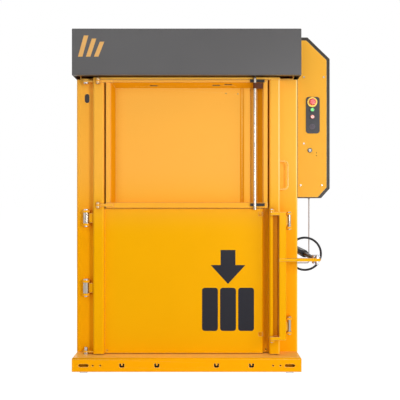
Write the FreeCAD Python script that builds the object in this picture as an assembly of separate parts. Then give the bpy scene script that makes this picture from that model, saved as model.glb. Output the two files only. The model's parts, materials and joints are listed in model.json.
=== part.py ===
import FreeCAD, Part
import math
import os

# Vertical recycling baler, in millimetres. +X is the right-hand side seen from the front, +Y goes
# to the back, +Z is up. The origin is on the floor, at the centre of the four anchor holes.

Vector = FreeCAD.Vector

# ---- Overall sizes ----
base_width = 1324.0
base_depth = 1100.0
base_height = 87.0
total_height = 1985.0
hood_height = 268.0
hood_depth = 1070.0
post_setback = 150.0        # the front posts stand this far behind the hood's front face
chamber_width = 1060.0
chamber_depth = 792.0

# ---- Base, feet and floor ----
foot_thickness = 6.0
foot_width = 46.0
foot_length = 120.0
anchor_inset_x = 67.0
anchor_inset_y = 62.0
anchor_hole_r = 7.0
base_wall = 8.0
base_edge_r = 9.0
fork_slot_length = 58.0
fork_slot_height = 16.0
skirt_hole_r = 4.75
inner_skirt_hole_x = 498.0
outer_skirt_hole_x = 541.0
skirt_web_setback = 26.0     # behind the front skirt
skirt_web_length = 214.0
skirt_feature_z = 42.0
inner_strap_x = 172.0
outer_strap_x = 373.5
strap_hole_width = 28.0
strap_hole_height = 23.0
strap_tongue_width = 9.0
strap_tongue_length = 13.0
strap_channel_width = 40.0
strap_channel_height = 36.0
strap_channel_wall = 3.0
floor_bar_height = 30.0
strap_groove = 40.0

# ---- Posts, walls and ribs ----
post_sheet = 8.0
post_return = 110.0
post_lip = 40.0
bend_r = 6.0
wall_sheet = 6.0
rib_depth = 60.0
rib_height = 80.0
rib_sheet = 5.0
first_rib_z = 230.0
rib_pitch = 258.0
rib_plug_gap = 10.0          # the highest rib stays this far below the plug
rear_post_width = 104.0
rear_post_depth = 100.0
plug_slot_width = 28.0
plug_slot_height = 54.0
plug_slot_inset = 63.0
plug_slot_drop = 113.0       # below the hood
plug_margin = 6.0
plug_sheet = 4.0
back_slot_width = 30.0
back_slot_height = 60.0

# ---- Top frame and hood ----
top_rail_width = 110.0
top_rail_height = 50.0
top_rail_wall = 6.0
beam_width = 60.0
beam_height = 140.0
beam_wall = 8.0
beam_inner_y = 112.0
hood_sheet = 3.0
hood_edge_r = 5.0
hood_lip = 40.0

# ---- Platen, guides and crossed cylinders ----
platen_drop = 217.0          # its underside, below the hood
platen_height = 120.0
platen_plate = 12.0
platen_tube_wall = 10.0
platen_travel = 700.0
platen_side_gap = 0.5
platen_front_gap = 6.0
guide_thickness = 7.0
guide_width = 60.0
guide_pitch = 500.0
cylinder_plane = 56.0
cylinder_pivot_inset = 60.0  # from the chamber wall
platen_pivot_inset = 130.0
platen_pivot_rise = 117.0
barrel_r = 50.0
barrel_bore_r = 42.0
rod_show = 38.0              # the rod's length that shows at rest
gland_length = 40.0
gland_r = 54.0
cylinder_rod_r = 25.0
eye_r = 38.0
eye_width = 60.0
rod_eye_inset = 2.0
cylinder_pin_r = 20.0
piston_length = 50.0
piston_start = 74.0
lug_thickness = 14.0
lug_gap = 0.5
lug_foot = 180.0
pin_clearance = 0.05
cylinder_pin_head = 8.0
cylinder_pin_tail = 14.0
barrel_neck = 40.0
barrel_start = 36.0
barrel_end_gap = 4.0         # behind the piston
neck_share = 0.8             # of the eye's radius

# ---- Main door ----
door_front_setback = 70.0
door_back_gap = 3.0
door_left_inset = 111.0
door_right_inset = 116.0
door_post_left_width = 65.0
door_post_right_width = 62.0
door_sheet = 6.0
door_bottom_gap = 5.0
door_top_gap = 2.0
door_beam_height = 12.0
door_beam_wall = 3.0
door_strip_sheet = 2.0
door_strip_inset = 44.0
panel_setback = 96.0
panel_sheet = 5.0
panel_top = 946.0
panel_step_inset = 34.0
panel_step = 30.0
panel_drain_r = 5.0
panel_drain_rise = 16.0
panel_drain_inset = 15.0
panel_notch_length = 27.5
panel_notch_height = 23.0
lower_notch_rise = 111.6
upper_notch_drop = 32.6
inner_plate_sheet = 8.0
stiffener_height = 40.0
stiffener_wall = 4.0
stiffener_count = 4
feed_stop_width = 20.0       # strips that the feed door shuts towards
handle_bar_r = 5.0
handle_reach = 50.0
handle_bottom = 1060.0
handle_top = 1226.0
handle_bend_r = 22.0
handle_setback = 98.0

# ---- Main door hinges ----
hinge_inset = 66.0
hinge_setback = 105.0
lower_hinge_z = 477.0
upper_hinge_z = 890.0
hinge_bush_r = 18.0
hinge_bush_height = 62.0
hinge_ear_sheet = 14.0
hinge_ear_width = 40.0
hinge_pin_r = 10.0
hinge_head_r = 15.0
hinge_head = 6.0
hinge_leaf = 10.0
hinge_leaf_inset = 3.0
hinge_play = 1.0
ear_corner = 0.8             # rounded share of an ear's half width
pivot_plate = 8.0
top_pivot_drop = 25.0
bottom_pivot_rise = 11.0
pivot_head = 8.0
pivot_pin_rise = 28.0

# ---- Feed door ----
feed_gap = 10.0
feed_bottom_gap = 3.0        # above the lower panel
feed_top_gap = 1.0
feed_depth = 50.0
feed_front_gap = 1.0
feed_stile = 26.0
feed_bottom_rail = 32.0
feed_top_rail = 13.0
feed_tube_wall = 3.0
feed_panel_sheet = 3.0
feed_panel_fold_r = 1.0
feed_panel_recess = 40.0
feed_panel_fold_inset = 97.0
feed_panel_fold = 6.0
feed_slope_depth = 28.0       # the panel's left, right and upper edges slope forwards
feed_slope_run = 24.0
feed_right_slope_run = 28.0
feed_slope_drop = 33.0
feed_slope_wall = 4.0
feed_slope_lead = 4.0
feed_groove_inset = 160.0
feed_groove_width = 24.0
feed_groove_depth = 5.0
feed_slot_length = 46.0
feed_slot_height = 4.5
feed_slots = ((-196.5, 30.5), (171.8, 29.0), (242.8, 25.0))     # along X, below the door's top
feed_hole_r = 3.0
feed_holes = ((231.0, 74.3), (302.0, 77.0))
feed_hinge_inset = 31.0
lower_feed_hinge_rise = 17.0
upper_feed_hinge_drop = 9.0
feed_pin_r = 6.0
feed_knuckle_r = 10.5
feed_knuckle_height = 16.0
feed_lug_sheet = 5.0
feed_arm_sheet = 8.0
feed_arm_reach = 46.0
feed_pin_reach = 17.0

# ---- Latch rod ----
latch_inset = 76.0
latch_rod_r = 9.0
latch_chamfer = 1.5
latch_tail = 11.0
latch_head = 12.0
latch_standoff = 11.0
saddle_width = 85.0
saddle_height = 17.0
saddle_depth = 8.0
saddle_offset = 15.0
lower_saddle_rise = 19.5
upper_saddle_drop = 8.5
cam_length = 46.0
cam_height = 32.0
cam_sheet = 10.0
cam_corner = 0.4
cam_collar = 1.5
cam_drop = 54.0

# ---- Lock bar, lock arm and keepers ----
lock_axis_inset = 52.0
lock_axis_setback = 44.0
lock_tube_r = 11.0
lock_shaft_r = 8.0
lock_shaft_tail = 4.0
lock_bar_start = 41.0        # from the axis
lock_bar_width = 42.0
lock_bar_front_setback = 20.0
lock_bar_back_setback = 64.0
lock_bar_wall = 5.0
lock_web = 8.0
lock_cap = 18.0
lock_bottom = 184.0
lock_top = 926.0
lock_play = 2.0
lock_ear_sheet = 12.0
lock_ear_width = 30.0
lock_ear_corner = 0.4
lock_ear_root = 0.5
lock_nose = 8.0
lock_nose_inset = 6.0
lock_nose_height = 50.0
lower_keeper_z = 262.0
upper_keeper_z = 875.0
keeper_inset = 64.0
keeper_setback = 60.0
keeper_pin_r = 10.0
keeper_clear_height = 70.0
keeper_ear_sheet = 12.0
keeper_ear_width = 32.0
keeper_pin_tail = 5.0
arm_z = 640.0
arm_sheet = 17.0
arm_tip = 17.0               # beyond the screw's axis
arm_front_setback = 12.0
arm_tip_front_setback = 20.0
arm_tip_back_setback = 55.0
arm_nose_gap = 8.0
arm_corner_r = 12.0
arm_edge_r = 2.0
arm_bolt_r = 9.0
arm_bolt_length = 58.0
arm_bolt_head_r = 13.0
arm_bolt_head = 8.0

# ---- Handwheel, screw and thrust block ----
screw_reach = 98.0           # out from the frame's side
screw_rise = 5.0             # above the arm's underside
screw_r = 13.5
screw_front_setback = 110.0
screw_length = 740.0
thrust_width = 36.0
thrust_height = 52.0
thrust_length = 64.0
thrust_cap = 10.0
thrust_gap = 0.5
wheel_r = 112.0
wheel_rim_r = 7.0
wheel_setback = 500.0
wheel_hub_r = 22.0
wheel_hub_length = 30.0
wheel_spoke_width = 22.0
wheel_spoke_sheet = 8.0
wheel_spoke_angle = -28.0
tube_r = 25.0
tube_gap = 22.0
tube_tail = 30.0
tube_end_wall = 24.0
bracket_sheet = 12.0
bracket_height = 50.0
front_bracket_inset = 100.0
back_bracket_inset = 34.0
bracket_root = 50.0
bracket_foot = 20.0
bracket_chamfer = 8.0
bracket_head = 4.0

# ---- Control cabinet ----
cabinet_width = 199.0
cabinet_height = 972.0
cabinet_top_gap = 6.0
cabinet_setback = 190.0
cabinet_depth = 420.0
cabinet_wall = 3.0
cabinet_top_cut_x = 134.0
cabinet_top_cut_z = 130.0
cabinet_bottom_cut_x = 52.0
cabinet_bottom_cut_z = 58.0
cabinet_band = 19.0
cabinet_seam = 3.0
cabinet_flange = 32.0
cover_sheet = 4.0
cover_proud = 2.0
cabinet_corner_r = 6.0
cabinet_back_edge_r = 2.0
cover_edge_r = 3.0
control_hole_start = 20.0    # in front of the cabinet
control_hole_length = 60.0
control_plate_inset = 96.5
control_plate_drop = 470.5
control_plate_width = 83.0
control_plate_height = 221.0
control_plate_r = 18.0
control_plate_sheet = 3.0
switch_inset = 93.0
estop_drop = 392.0
start_drop = 438.0
stop_drop = 481.0
key_inset = 79.0
key_drop = 683.0
estop_ring_r = 30.0
estop_head_r = 20.0
estop_head_height = 13.0
estop_travel = 4.0
estop_gap = 1.0
estop_dome = 0.45
stem_r = 11.0
stem_play = 0.3
stem_length = 34.0
bezel_r = 15.0
bezel_height = 5.0
bezel_chamfer = 1.2
button_proud = 4.0
button_travel = 3.0
button_edge_r = 1.5
key_ring_r = 13.5
key_core_r = 8.0
key_proud = 1.5
key_slot_width = 2.0
key_slot_length = 9.0
key_slot_depth = 8.0

# ---- Power unit, conduit and lock switch ----
tank_width = 120.0
tank_depth = 250.0
tank_height = 250.0
tank_corner_r = 8.0
tank_inset_x = 12.0
tank_inset_y = 50.0
motor_r = 55.0
motor_height = 200.0
motor_fin_count = 12
motor_fin = 5.0
motor_fin_margin = 20.0
conduit_inset_x = 138.0
conduit_inset_y = 30.0
conduit_z = 578.0
conduit_r = 4.0
conduit_bend_r = 12.0
conduit_gland_r = 6.5
conduit_gland_length = 8.0
switch_box_depth = 60.0
switch_box_height = 56.0
switch_box_width = 60.0

# ---- Sizes that follow ----
front_y = -base_depth / 2
half_width = base_width / 2
chamber_x = chamber_width / 2
hood_bottom = total_height - hood_height
post_y = front_y + post_setback
post_back_y = post_y + post_sheet
chamber_back_y = post_back_y + chamber_depth
wall_x = chamber_x + wall_sheet
anchor_pitch_x = base_width - 2 * anchor_inset_x
anchor_pitch_y = base_depth - 2 * anchor_inset_y
skirt_hole_places = (inner_skirt_hole_x, outer_skirt_hole_x)
strap_places = (inner_strap_x, outer_strap_x)
plug_slot_x = half_width - plug_slot_inset
plug_slot_z = hood_bottom - plug_slot_drop
top_rib_limit = plug_slot_z - plug_slot_height / 2 - plug_margin - rib_plug_gap - rib_height / 2
rib_count = int((top_rib_limit - first_rib_z) // rib_pitch) + 1
rib_levels = [first_rib_z + i * rib_pitch for i in range(rib_count)]

platen_bottom = hood_bottom - platen_drop
platen_top = platen_bottom + platen_height
platen_pivot_z = platen_top + platen_pivot_rise
platen_pivot_x = chamber_x - platen_pivot_inset
beam_length = 2 * (chamber_x + top_rail_width)
cylinder_pivot_x = chamber_x - cylinder_pivot_inset
cylinder_pivot_z = hood_bottom + top_rail_height + beam_height / 2
pivot_span = cylinder_pivot_x + platen_pivot_x
pivot_drop = cylinder_pivot_z - platen_pivot_z
rest_reach = math.hypot(pivot_span, pivot_drop)
rest_angle = math.degrees(math.atan2(pivot_drop, pivot_span))
barrel_length = rest_reach - eye_r - rod_show - gland_length

door_front_y = front_y + door_front_setback
door_back_y = post_y - door_back_gap
door_left = door_left_inset - half_width
door_right = half_width - door_right_inset
door_bottom = base_height + door_bottom_gap
door_top = hood_bottom - door_top_gap
door_inner_left = door_left + door_post_left_width
door_inner_right = door_right - door_post_right_width
panel_step_x = door_inner_right - panel_step_inset
handle_y = front_y + handle_setback
hinge_x = hinge_inset - half_width
hinge_y = front_y + hinge_setback
hinge_levels = (lower_hinge_z, upper_hinge_z)
top_pivot_z = hood_bottom - top_pivot_drop
bottom_pivot_z = base_height + bottom_pivot_rise

feed_front_y = door_front_y - feed_front_gap
feed_back_y = feed_front_y + feed_depth
feed_left = door_inner_left + feed_gap
feed_right = door_inner_right - feed_gap
feed_bottom = panel_top + feed_bottom_gap
feed_top = door_top - door_beam_height - feed_top_gap
feed_panel_fold_x = feed_right - feed_panel_fold_inset
feed_groove_x = feed_right - feed_groove_inset
feed_hinge_x = door_left + feed_hinge_inset
feed_hinge_y = feed_front_y - feed_knuckle_r - feed_front_gap / 2
feed_hinge_levels = (feed_bottom + lower_feed_hinge_rise, feed_top - upper_feed_hinge_drop)
feed_arm_end_x = feed_left + feed_arm_reach
latch_x = feed_right - latch_inset
latch_y = feed_front_y - latch_standoff
latch_bottom = feed_bottom - latch_tail
latch_top = feed_top + latch_head
saddle_levels = (feed_bottom + lower_saddle_rise, feed_top - upper_saddle_drop)
cam_z = feed_top - cam_drop

lock_axis_x = door_right - lock_axis_inset
lock_axis_y = front_y + lock_axis_setback
lock_bar_left = lock_axis_x + lock_bar_start
lock_bar_right = lock_bar_left + lock_bar_width
lock_nose_x = lock_bar_right + lock_nose
keeper_x = half_width - keeper_inset
keeper_levels = (lower_keeper_z, upper_keeper_z)
screw_x = half_width + screw_reach
screw_z = arm_z + screw_rise
arm_end_x = screw_x + arm_tip
screw_front = front_y + screw_front_setback
screw_back = screw_front + screw_length
wheel_y = front_y + wheel_setback
tube_front = wheel_y + tube_gap
tube_back = screw_back + tube_tail
bracket_places = (tube_back - front_bracket_inset, tube_back - back_bracket_inset)

cabinet_left = half_width
cabinet_right = cabinet_left + cabinet_width
cabinet_top = total_height - cabinet_top_gap
cabinet_bottom = cabinet_top - cabinet_height
control_plate_x = cabinet_left + control_plate_inset
control_plate_z = cabinet_top - control_plate_drop
switch_x = cabinet_left + switch_inset
estop_z = cabinet_top - estop_drop
start_z = cabinet_top - start_drop
stop_z = cabinet_top - stop_drop
key_x = cabinet_left + key_inset
key_z = cabinet_top - key_drop
conduit_x = cabinet_left + conduit_inset_x
conduit_y = front_y + cabinet_setback + cabinet_depth - conduit_inset_y


# ---- Shape helpers ----

def box(x0, x1, y0, y1, z0, z1):
    return Part.makeBox(x1 - x0, y1 - y0, z1 - z0, Vector(x0, y0, z0))


def round_bar(axis, start, radius, length):
    return Part.makeCylinder(radius, length, Vector(*start), axis)


ALONG_X = Vector(1, 0, 0)
ALONG_Y = Vector(0, 1, 0)
ALONG_Z = Vector(0, 0, 1)
PLANES = {
    "xy": (lambda u, v, w: Vector(u, v, w), ALONG_Z),
    "xz": (lambda u, v, w: Vector(u, w, v), ALONG_Y),
    "yz": (lambda u, v, w: Vector(w, u, v), ALONG_X),
}


def unit(a, b):
    length = math.hypot(b[0] - a[0], b[1] - a[1])
    return ((b[0] - a[0]) / length, (b[1] - a[1]) / length)


def prism(points, plane, start, end, radii=None):
    """A closed outline, its corners rounded by radii, carried from start to end."""
    place, direction = PLANES[plane]
    radii = radii or [0.0] * len(points)
    ends = []
    for i, corner in enumerate(points):
        back = unit(corner, points[i - 1])
        ahead = unit(corner, points[(i + 1) % len(points)])
        if radii[i] <= 0:
            ends.append((corner, None, corner))
            continue
        turn = math.acos(max(-1.0, min(1.0, back[0] * ahead[0] + back[1] * ahead[1])))
        run = radii[i] / math.tan(turn / 2)
        middle = radii[i] / math.sin(turn / 2) - radii[i]
        half = unit((0, 0), (back[0] + ahead[0], back[1] + ahead[1]))
        ends.append(((corner[0] + back[0] * run, corner[1] + back[1] * run),
                     (corner[0] + half[0] * middle, corner[1] + half[1] * middle),
                     (corner[0] + ahead[0] * run, corner[1] + ahead[1] * run)))
    edges = []
    for i, (first, middle, last) in enumerate(ends):
        if middle:
            edges.append(Part.Arc(place(*first, start), place(*middle, start), place(*last, start)).toShape())
        following = ends[(i + 1) % len(ends)][0]
        if math.dist(last, following) > 1e-6:
            edges.append(Part.LineSegment(place(*last, start), place(*following, start)).toShape())
    return Part.Face(Part.Wire(edges)).extrude(direction * (end - start))


def folded(path, sheet, plane, start, end, inner_r=bend_r):
    """A folded sheet: path is one face of it, and the sheet lies on the path's left."""
    other = []
    path_radii = []
    other_radii = []
    for i, point in enumerate(path):
        before = unit(path[i - 1], point) if i else unit(point, path[1])
        after = unit(point, path[i + 1]) if i < len(path) - 1 else before
        dot = before[0] * after[0] + before[1] * after[1]
        other.append((point[0] - (before[1] + after[1]) / (1 + dot) * sheet,
                      point[1] + (before[0] + after[0]) / (1 + dot) * sheet))
        turn = before[0] * after[1] - before[1] * after[0]
        path_radii.append(0.0 if abs(turn) < 1e-6 else inner_r + sheet if turn > 0 else inner_r)
        other_radii.append(0.0 if abs(turn) < 1e-6 else inner_r if turn > 0 else inner_r + sheet)
    return prism(path + other[::-1], plane, start, end, path_radii + other_radii[::-1])


def inset(points, gaps):
    """The outline with each edge moved inwards by its own gap; points run anticlockwise."""
    lines = []
    for i, point in enumerate(points):
        along = unit(point, points[(i + 1) % len(points)])
        lines.append(((point[0] - along[1] * gaps[i], point[1] + along[0] * gaps[i]), along))
    moved = []
    for i, (point, along) in enumerate(lines):
        last, before = lines[i - 1]
        cross = before[0] * along[1] - before[1] * along[0]
        reach = ((point[0] - last[0]) * along[1] - (point[1] - last[1]) * along[0]) / cross
        moved.append((last[0] + before[0] * reach, last[1] + before[1] * reach))
    return moved


def rect_tube(plane, u0, u1, v0, v1, start, end, wall):
    corner_r = wall * 1.5
    outer = prism([(u0, v0), (u1, v0), (u1, v1), (u0, v1)], plane, start, end, [corner_r] * 4)
    inner = prism([(u0 + wall, v0 + wall), (u1 - wall, v0 + wall), (u1 - wall, v1 - wall),
                   (u0 + wall, v1 - wall)], plane, start, end)
    return outer.cut(inner)


def obround(plane, u, v, width, height, start, end):
    """A slot with round ends, its longer way along width or height."""
    r = min(width, height) / 2 * 0.999
    points = [(u - width / 2, v - height / 2), (u + width / 2, v - height / 2),
              (u + width / 2, v + height / 2), (u - width / 2, v + height / 2)]
    return prism(points, plane, start, end, [r] * 4)


def mirrored(shape):
    return shape.mirror(Vector(0, 0, 0), ALONG_X)


def both_sides(values):
    return [-v for v in reversed(values)] + list(values)


def fused(shapes):
    return shapes[0].fuse(shapes[1:]).removeSplitter()


# ---- Base, feet and floor ----

def make_base():
    tray = box(-half_width, half_width, front_y, -front_y, foot_thickness, base_height)
    top_edges = [e for e in tray.Edges if e.BoundBox.ZMin > base_height - 0.1]
    tray = tray.makeFillet(base_edge_r, top_edges)
    inner = -front_y - base_wall
    tray = tray.cut(box(base_wall - half_width, half_width - base_wall, -inner, inner,
                        foot_thickness, base_height - base_wall))
    cuts = []
    skirt = (front_y - 1, front_y + base_wall + 1)
    for side in (-1, 1):
        cuts.append(obround("xz", side * anchor_pitch_x / 2, skirt_feature_z,
                            fork_slot_length, fork_slot_height, *skirt))
        for place in skirt_hole_places:
            cuts.append(round_bar(ALONG_Y, (side * place, skirt[0], skirt_feature_z),
                                  skirt_hole_r, skirt[1] - skirt[0]))
    for place in both_sides(strap_places):
        low = skirt_feature_z - strap_hole_height / 2
        high = low + strap_hole_height
        half = strap_hole_width / 2
        tongue = strap_tongue_width / 2
        tongue_z = high - strap_tongue_length
        crown = [(-half, high), (-half, low), (half, low), (half, high), (tongue, high),
                 (tongue, tongue_z), (-tongue, tongue_z), (-tongue, high)]
        cuts.append(prism([(place + u, v) for u, v in crown], "xz", *skirt,
                          [0, half * 0.6, half * 0.6, 0, 0, tongue * 0.8, tongue * 0.8, 0]))
    tray = tray.cut(Part.makeCompound(cuts))
    web_y = front_y + base_wall + skirt_web_setback
    web = box(half_width - base_wall - skirt_web_length, half_width - base_wall, web_y, web_y + base_wall,
              foot_thickness, base_height - base_wall)
    return fused([tray, web, mirrored(web)])


def make_feet():
    feet = []
    for x in (-anchor_pitch_x / 2, anchor_pitch_x / 2):
        for y in (-anchor_pitch_y / 2, anchor_pitch_y / 2):
            x0, x1 = x - foot_width / 2, x + foot_width / 2
            y0, y1 = y - foot_length / 2, y + foot_length / 2
            pad = prism([(x0, y0), (x1, y0), (x1, y1), (x0, y1)], "xy", 0, foot_thickness, [bend_r] * 4)
            feet.append(pad.cut(round_bar(ALONG_Z, (x, y, -1), anchor_hole_r, foot_thickness + 2)))
    return feet


def make_strap_channels():
    """Each channel is four flat strips, with two of them upright between the other two."""
    reach = -front_y - base_wall
    half = strap_channel_width / 2
    wall = strap_channel_wall
    low = skirt_feature_z - strap_channel_height / 2
    high = low + strap_channel_height
    strips = []
    for place in both_sides(strap_places):
        left, right = place - half, place + half
        strips += [box(left, right, -reach, reach, low, low + wall),
                   box(left, right, -reach, reach, high - wall, high),
                   box(left, left + wall, -reach, reach, low + wall, high - wall),
                   box(right - wall, right, -reach, reach, low + wall, high - wall)]
    return strips


def between_grooves(limit):
    """The strips that the strap grooves leave across a width of twice limit."""
    stops = [-limit]
    for place in both_sides(strap_places):
        stops += [place - strap_groove / 2, place + strap_groove / 2]
    stops.append(limit)
    return list(zip(stops[0::2], stops[1::2]))


def make_floor():
    return [box(x0, x1, post_back_y, chamber_back_y, base_height, base_height + floor_bar_height)
            for x0, x1 in between_grooves(chamber_x)]


# ---- Posts, walls and ribs ----

def make_front_post():
    path = [(chamber_x, post_y), (half_width, post_y), (half_width, post_y + post_return),
            (half_width - post_lip, post_y + post_return)]
    return folded(path, post_sheet, "xy", base_height, hood_bottom)


def make_front_posts():
    right = make_front_post()
    slot = obround("xz", -plug_slot_x, plug_slot_z, plug_slot_width, plug_slot_height,
                   post_y - 1, post_back_y + 1)
    plug = obround("xz", -plug_slot_x, plug_slot_z, plug_slot_width + 2 * plug_margin,
                   plug_slot_height + 2 * plug_margin, post_back_y, post_back_y + plug_sheet)
    return mirrored(right).cut(slot), right, plug


def make_side_walls():
    right = box(chamber_x, wall_x, post_back_y, chamber_back_y, base_height, hood_bottom)
    return [mirrored(right), right]


def make_rear_posts():
    right = rect_tube("xy", wall_x, wall_x + rear_post_width, chamber_back_y,
                      chamber_back_y + rear_post_depth, base_height, hood_bottom, wall_sheet)
    return [mirrored(right), right]


def make_back_wall():
    wall = box(-wall_x, wall_x, chamber_back_y, chamber_back_y + wall_sheet, base_height, hood_bottom)
    slots = [obround("xz", place, base_height + floor_bar_height + back_slot_height / 2, back_slot_width,
                     back_slot_height, chamber_back_y - 1, chamber_back_y + wall_sheet + 1)
             for place in both_sides(strap_places)]
    return wall.cut(Part.makeCompound(slots))


def make_ribs():
    ribs = []
    back_y = chamber_back_y + wall_sheet
    for level in rib_levels:
        low = level - rib_height / 2
        high = level + rib_height / 2
        side = folded([(wall_x, low), (wall_x + rib_depth, low), (wall_x + rib_depth, high), (wall_x, high)],
                      rib_sheet, "xz", post_back_y, chamber_back_y)
        back = folded([(back_y, low), (back_y + rib_depth, low), (back_y + rib_depth, high), (back_y, high)],
                      rib_sheet, "yz", -wall_x, wall_x)
        ribs += [mirrored(side), side, back]
    return ribs


# ---- Top frame and hood ----

def make_top_rails():
    right = rect_tube("xz", chamber_x, chamber_x + top_rail_width, hood_bottom,
                      hood_bottom + top_rail_height, post_y, chamber_back_y + rear_post_depth, top_rail_wall)
    return [mirrored(right), right]


def make_crosshead():
    low = hood_bottom + top_rail_height
    beams = []
    for y0 in (-beam_inner_y - beam_width, beam_inner_y):
        beam = rect_tube("yz", y0, y0 + beam_width, low, low + beam_height,
                         -beam_length / 2, beam_length / 2, beam_wall)
        for x in (-cylinder_pivot_x, cylinder_pivot_x):
            beam = beam.cut(round_bar(ALONG_Y, (x, y0 - 1, cylinder_pivot_z),
                                      cylinder_pin_r + pin_clearance, beam_width + 2))
        beams.append(beam)
    return beams


def make_cylinder_pins():
    reach = beam_inner_y + beam_width
    pins = []
    for x in (-cylinder_pivot_x, cylinder_pivot_x):
        start = (x, -reach - cylinder_pin_head, cylinder_pivot_z)
        shaft = round_bar(ALONG_Y, start, cylinder_pin_r, cylinder_pin_head + 2 * reach + cylinder_pin_tail)
        head = round_bar(ALONG_Y, start, cylinder_pin_r + cylinder_pin_head, cylinder_pin_head)
        pins.append(fused([shaft, head]))
    return pins


def make_hood():
    back = front_y + hood_depth
    shell = box(-half_width, half_width, front_y, back, hood_bottom, total_height)
    rounded = [e for e in shell.Edges if e.BoundBox.ZMax > total_height - 0.1]
    shell = shell.makeFillet(hood_edge_r, rounded)
    inside = box(hood_sheet - half_width, half_width - hood_sheet, front_y + hood_sheet, back - hood_sheet,
                 hood_bottom + hood_sheet, total_height - hood_sheet)
    mouth = box(hood_sheet - half_width, half_width - hood_sheet, front_y + hood_lip,
                back - hood_sheet, hood_bottom - 1, hood_bottom + hood_sheet + 1)
    return shell.cut(inside).cut(mouth)


# ---- Platen, its guides and the crossed cylinders ----

def make_guides():
    low = platen_bottom - platen_travel
    strips = []
    for y in both_sides([guide_pitch / 2]):
        right = box(chamber_x - guide_thickness, chamber_x, y - guide_width / 2, y + guide_width / 2,
                    low, hood_bottom)
        strips += [mirrored(right), right]
    return strips


def make_platen():
    side = chamber_x - guide_thickness - platen_side_gap
    front = post_y + platen_front_gap
    back = chamber_back_y - platen_front_gap
    plate_z = platen_top - platen_plate
    pieces = [box(-side, side, front, back, plate_z, platen_top)]
    for x0, x1 in between_grooves(side):
        pieces.append(rect_tube("xz", x0, x1, platen_bottom, plate_z, front, back, platen_tube_wall))
    for x, plane_y in ((platen_pivot_x, -cylinder_plane), (-platen_pivot_x, cylinder_plane)):
        cheek = prism([(x - lug_foot / 2, platen_top), (x + lug_foot / 2, platen_top),
                       (x + eye_r, platen_pivot_z + eye_r), (x - eye_r, platen_pivot_z + eye_r)],
                      "xz", 0, lug_thickness, [0, 0, eye_r * ear_corner, eye_r * ear_corner])
        cheek = cheek.cut(round_bar(ALONG_Y, (x, -1, platen_pivot_z), cylinder_pin_r, lug_thickness + 2))
        for y in (plane_y - eye_width / 2 - lug_gap - lug_thickness, plane_y + eye_width / 2 + lug_gap):
            pieces.append(cheek.translated(Vector(0, y, 0)))
    return fused(pieces)


def aim_cylinder(shape):
    """Turns a cylinder piece from lying along +X at the origin to its place at rest, on the left."""
    shape.rotate(Vector(0, 0, 0), ALONG_Y, rest_angle)
    shape.translate(Vector(-cylinder_pivot_x, -cylinder_plane, cylinder_pivot_z))
    return shape


def make_barrel():
    base_end = piston_start - barrel_end_gap
    neck_half = eye_r * neck_share
    eye = round_bar(ALONG_Y, (0, -eye_width / 2, 0), eye_r, eye_width)
    neck = box(0, barrel_neck, -eye_width / 2, eye_width / 2, -neck_half, neck_half)
    tube = round_bar(ALONG_X, (barrel_start, 0, 0), barrel_r, barrel_length - barrel_start)
    gland = round_bar(ALONG_X, (barrel_length, 0, 0), gland_r, gland_length)
    shape = fused([eye, neck, tube, gland])
    shape = shape.cut(round_bar(ALONG_X, (base_end, 0, 0), barrel_bore_r, barrel_length - base_end))
    shape = shape.cut(round_bar(ALONG_X, (barrel_length - 1, 0, 0), cylinder_rod_r + pin_clearance,
                                gland_length + 2))
    shape = shape.cut(round_bar(ALONG_Y, (0, -eye_width, 0), cylinder_pin_r + pin_clearance, 2 * eye_width))
    return aim_cylinder(shape)


def make_cylinder_rod():
    piston = round_bar(ALONG_X, (piston_start, 0, 0), barrel_bore_r - pin_clearance, piston_length)
    shaft = round_bar(ALONG_X, (piston_start, 0, 0), cylinder_rod_r, rest_reach - eye_r / 2 - piston_start)
    eye = round_bar(ALONG_Y, (rest_reach, rod_eye_inset - eye_width / 2, 0), eye_r,
                    eye_width - 2 * rod_eye_inset)
    pin = round_bar(ALONG_Y, (rest_reach, -eye_width / 2, 0), cylinder_pin_r, eye_width)
    return aim_cylinder(fused([piston, shaft, eye, pin]))


def other_cylinder(shape):
    return shape.mirror(Vector(0, 0, 0), ALONG_X).mirror(Vector(0, 0, 0), ALONG_Y)


# ---- Main door hinges ----

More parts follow.
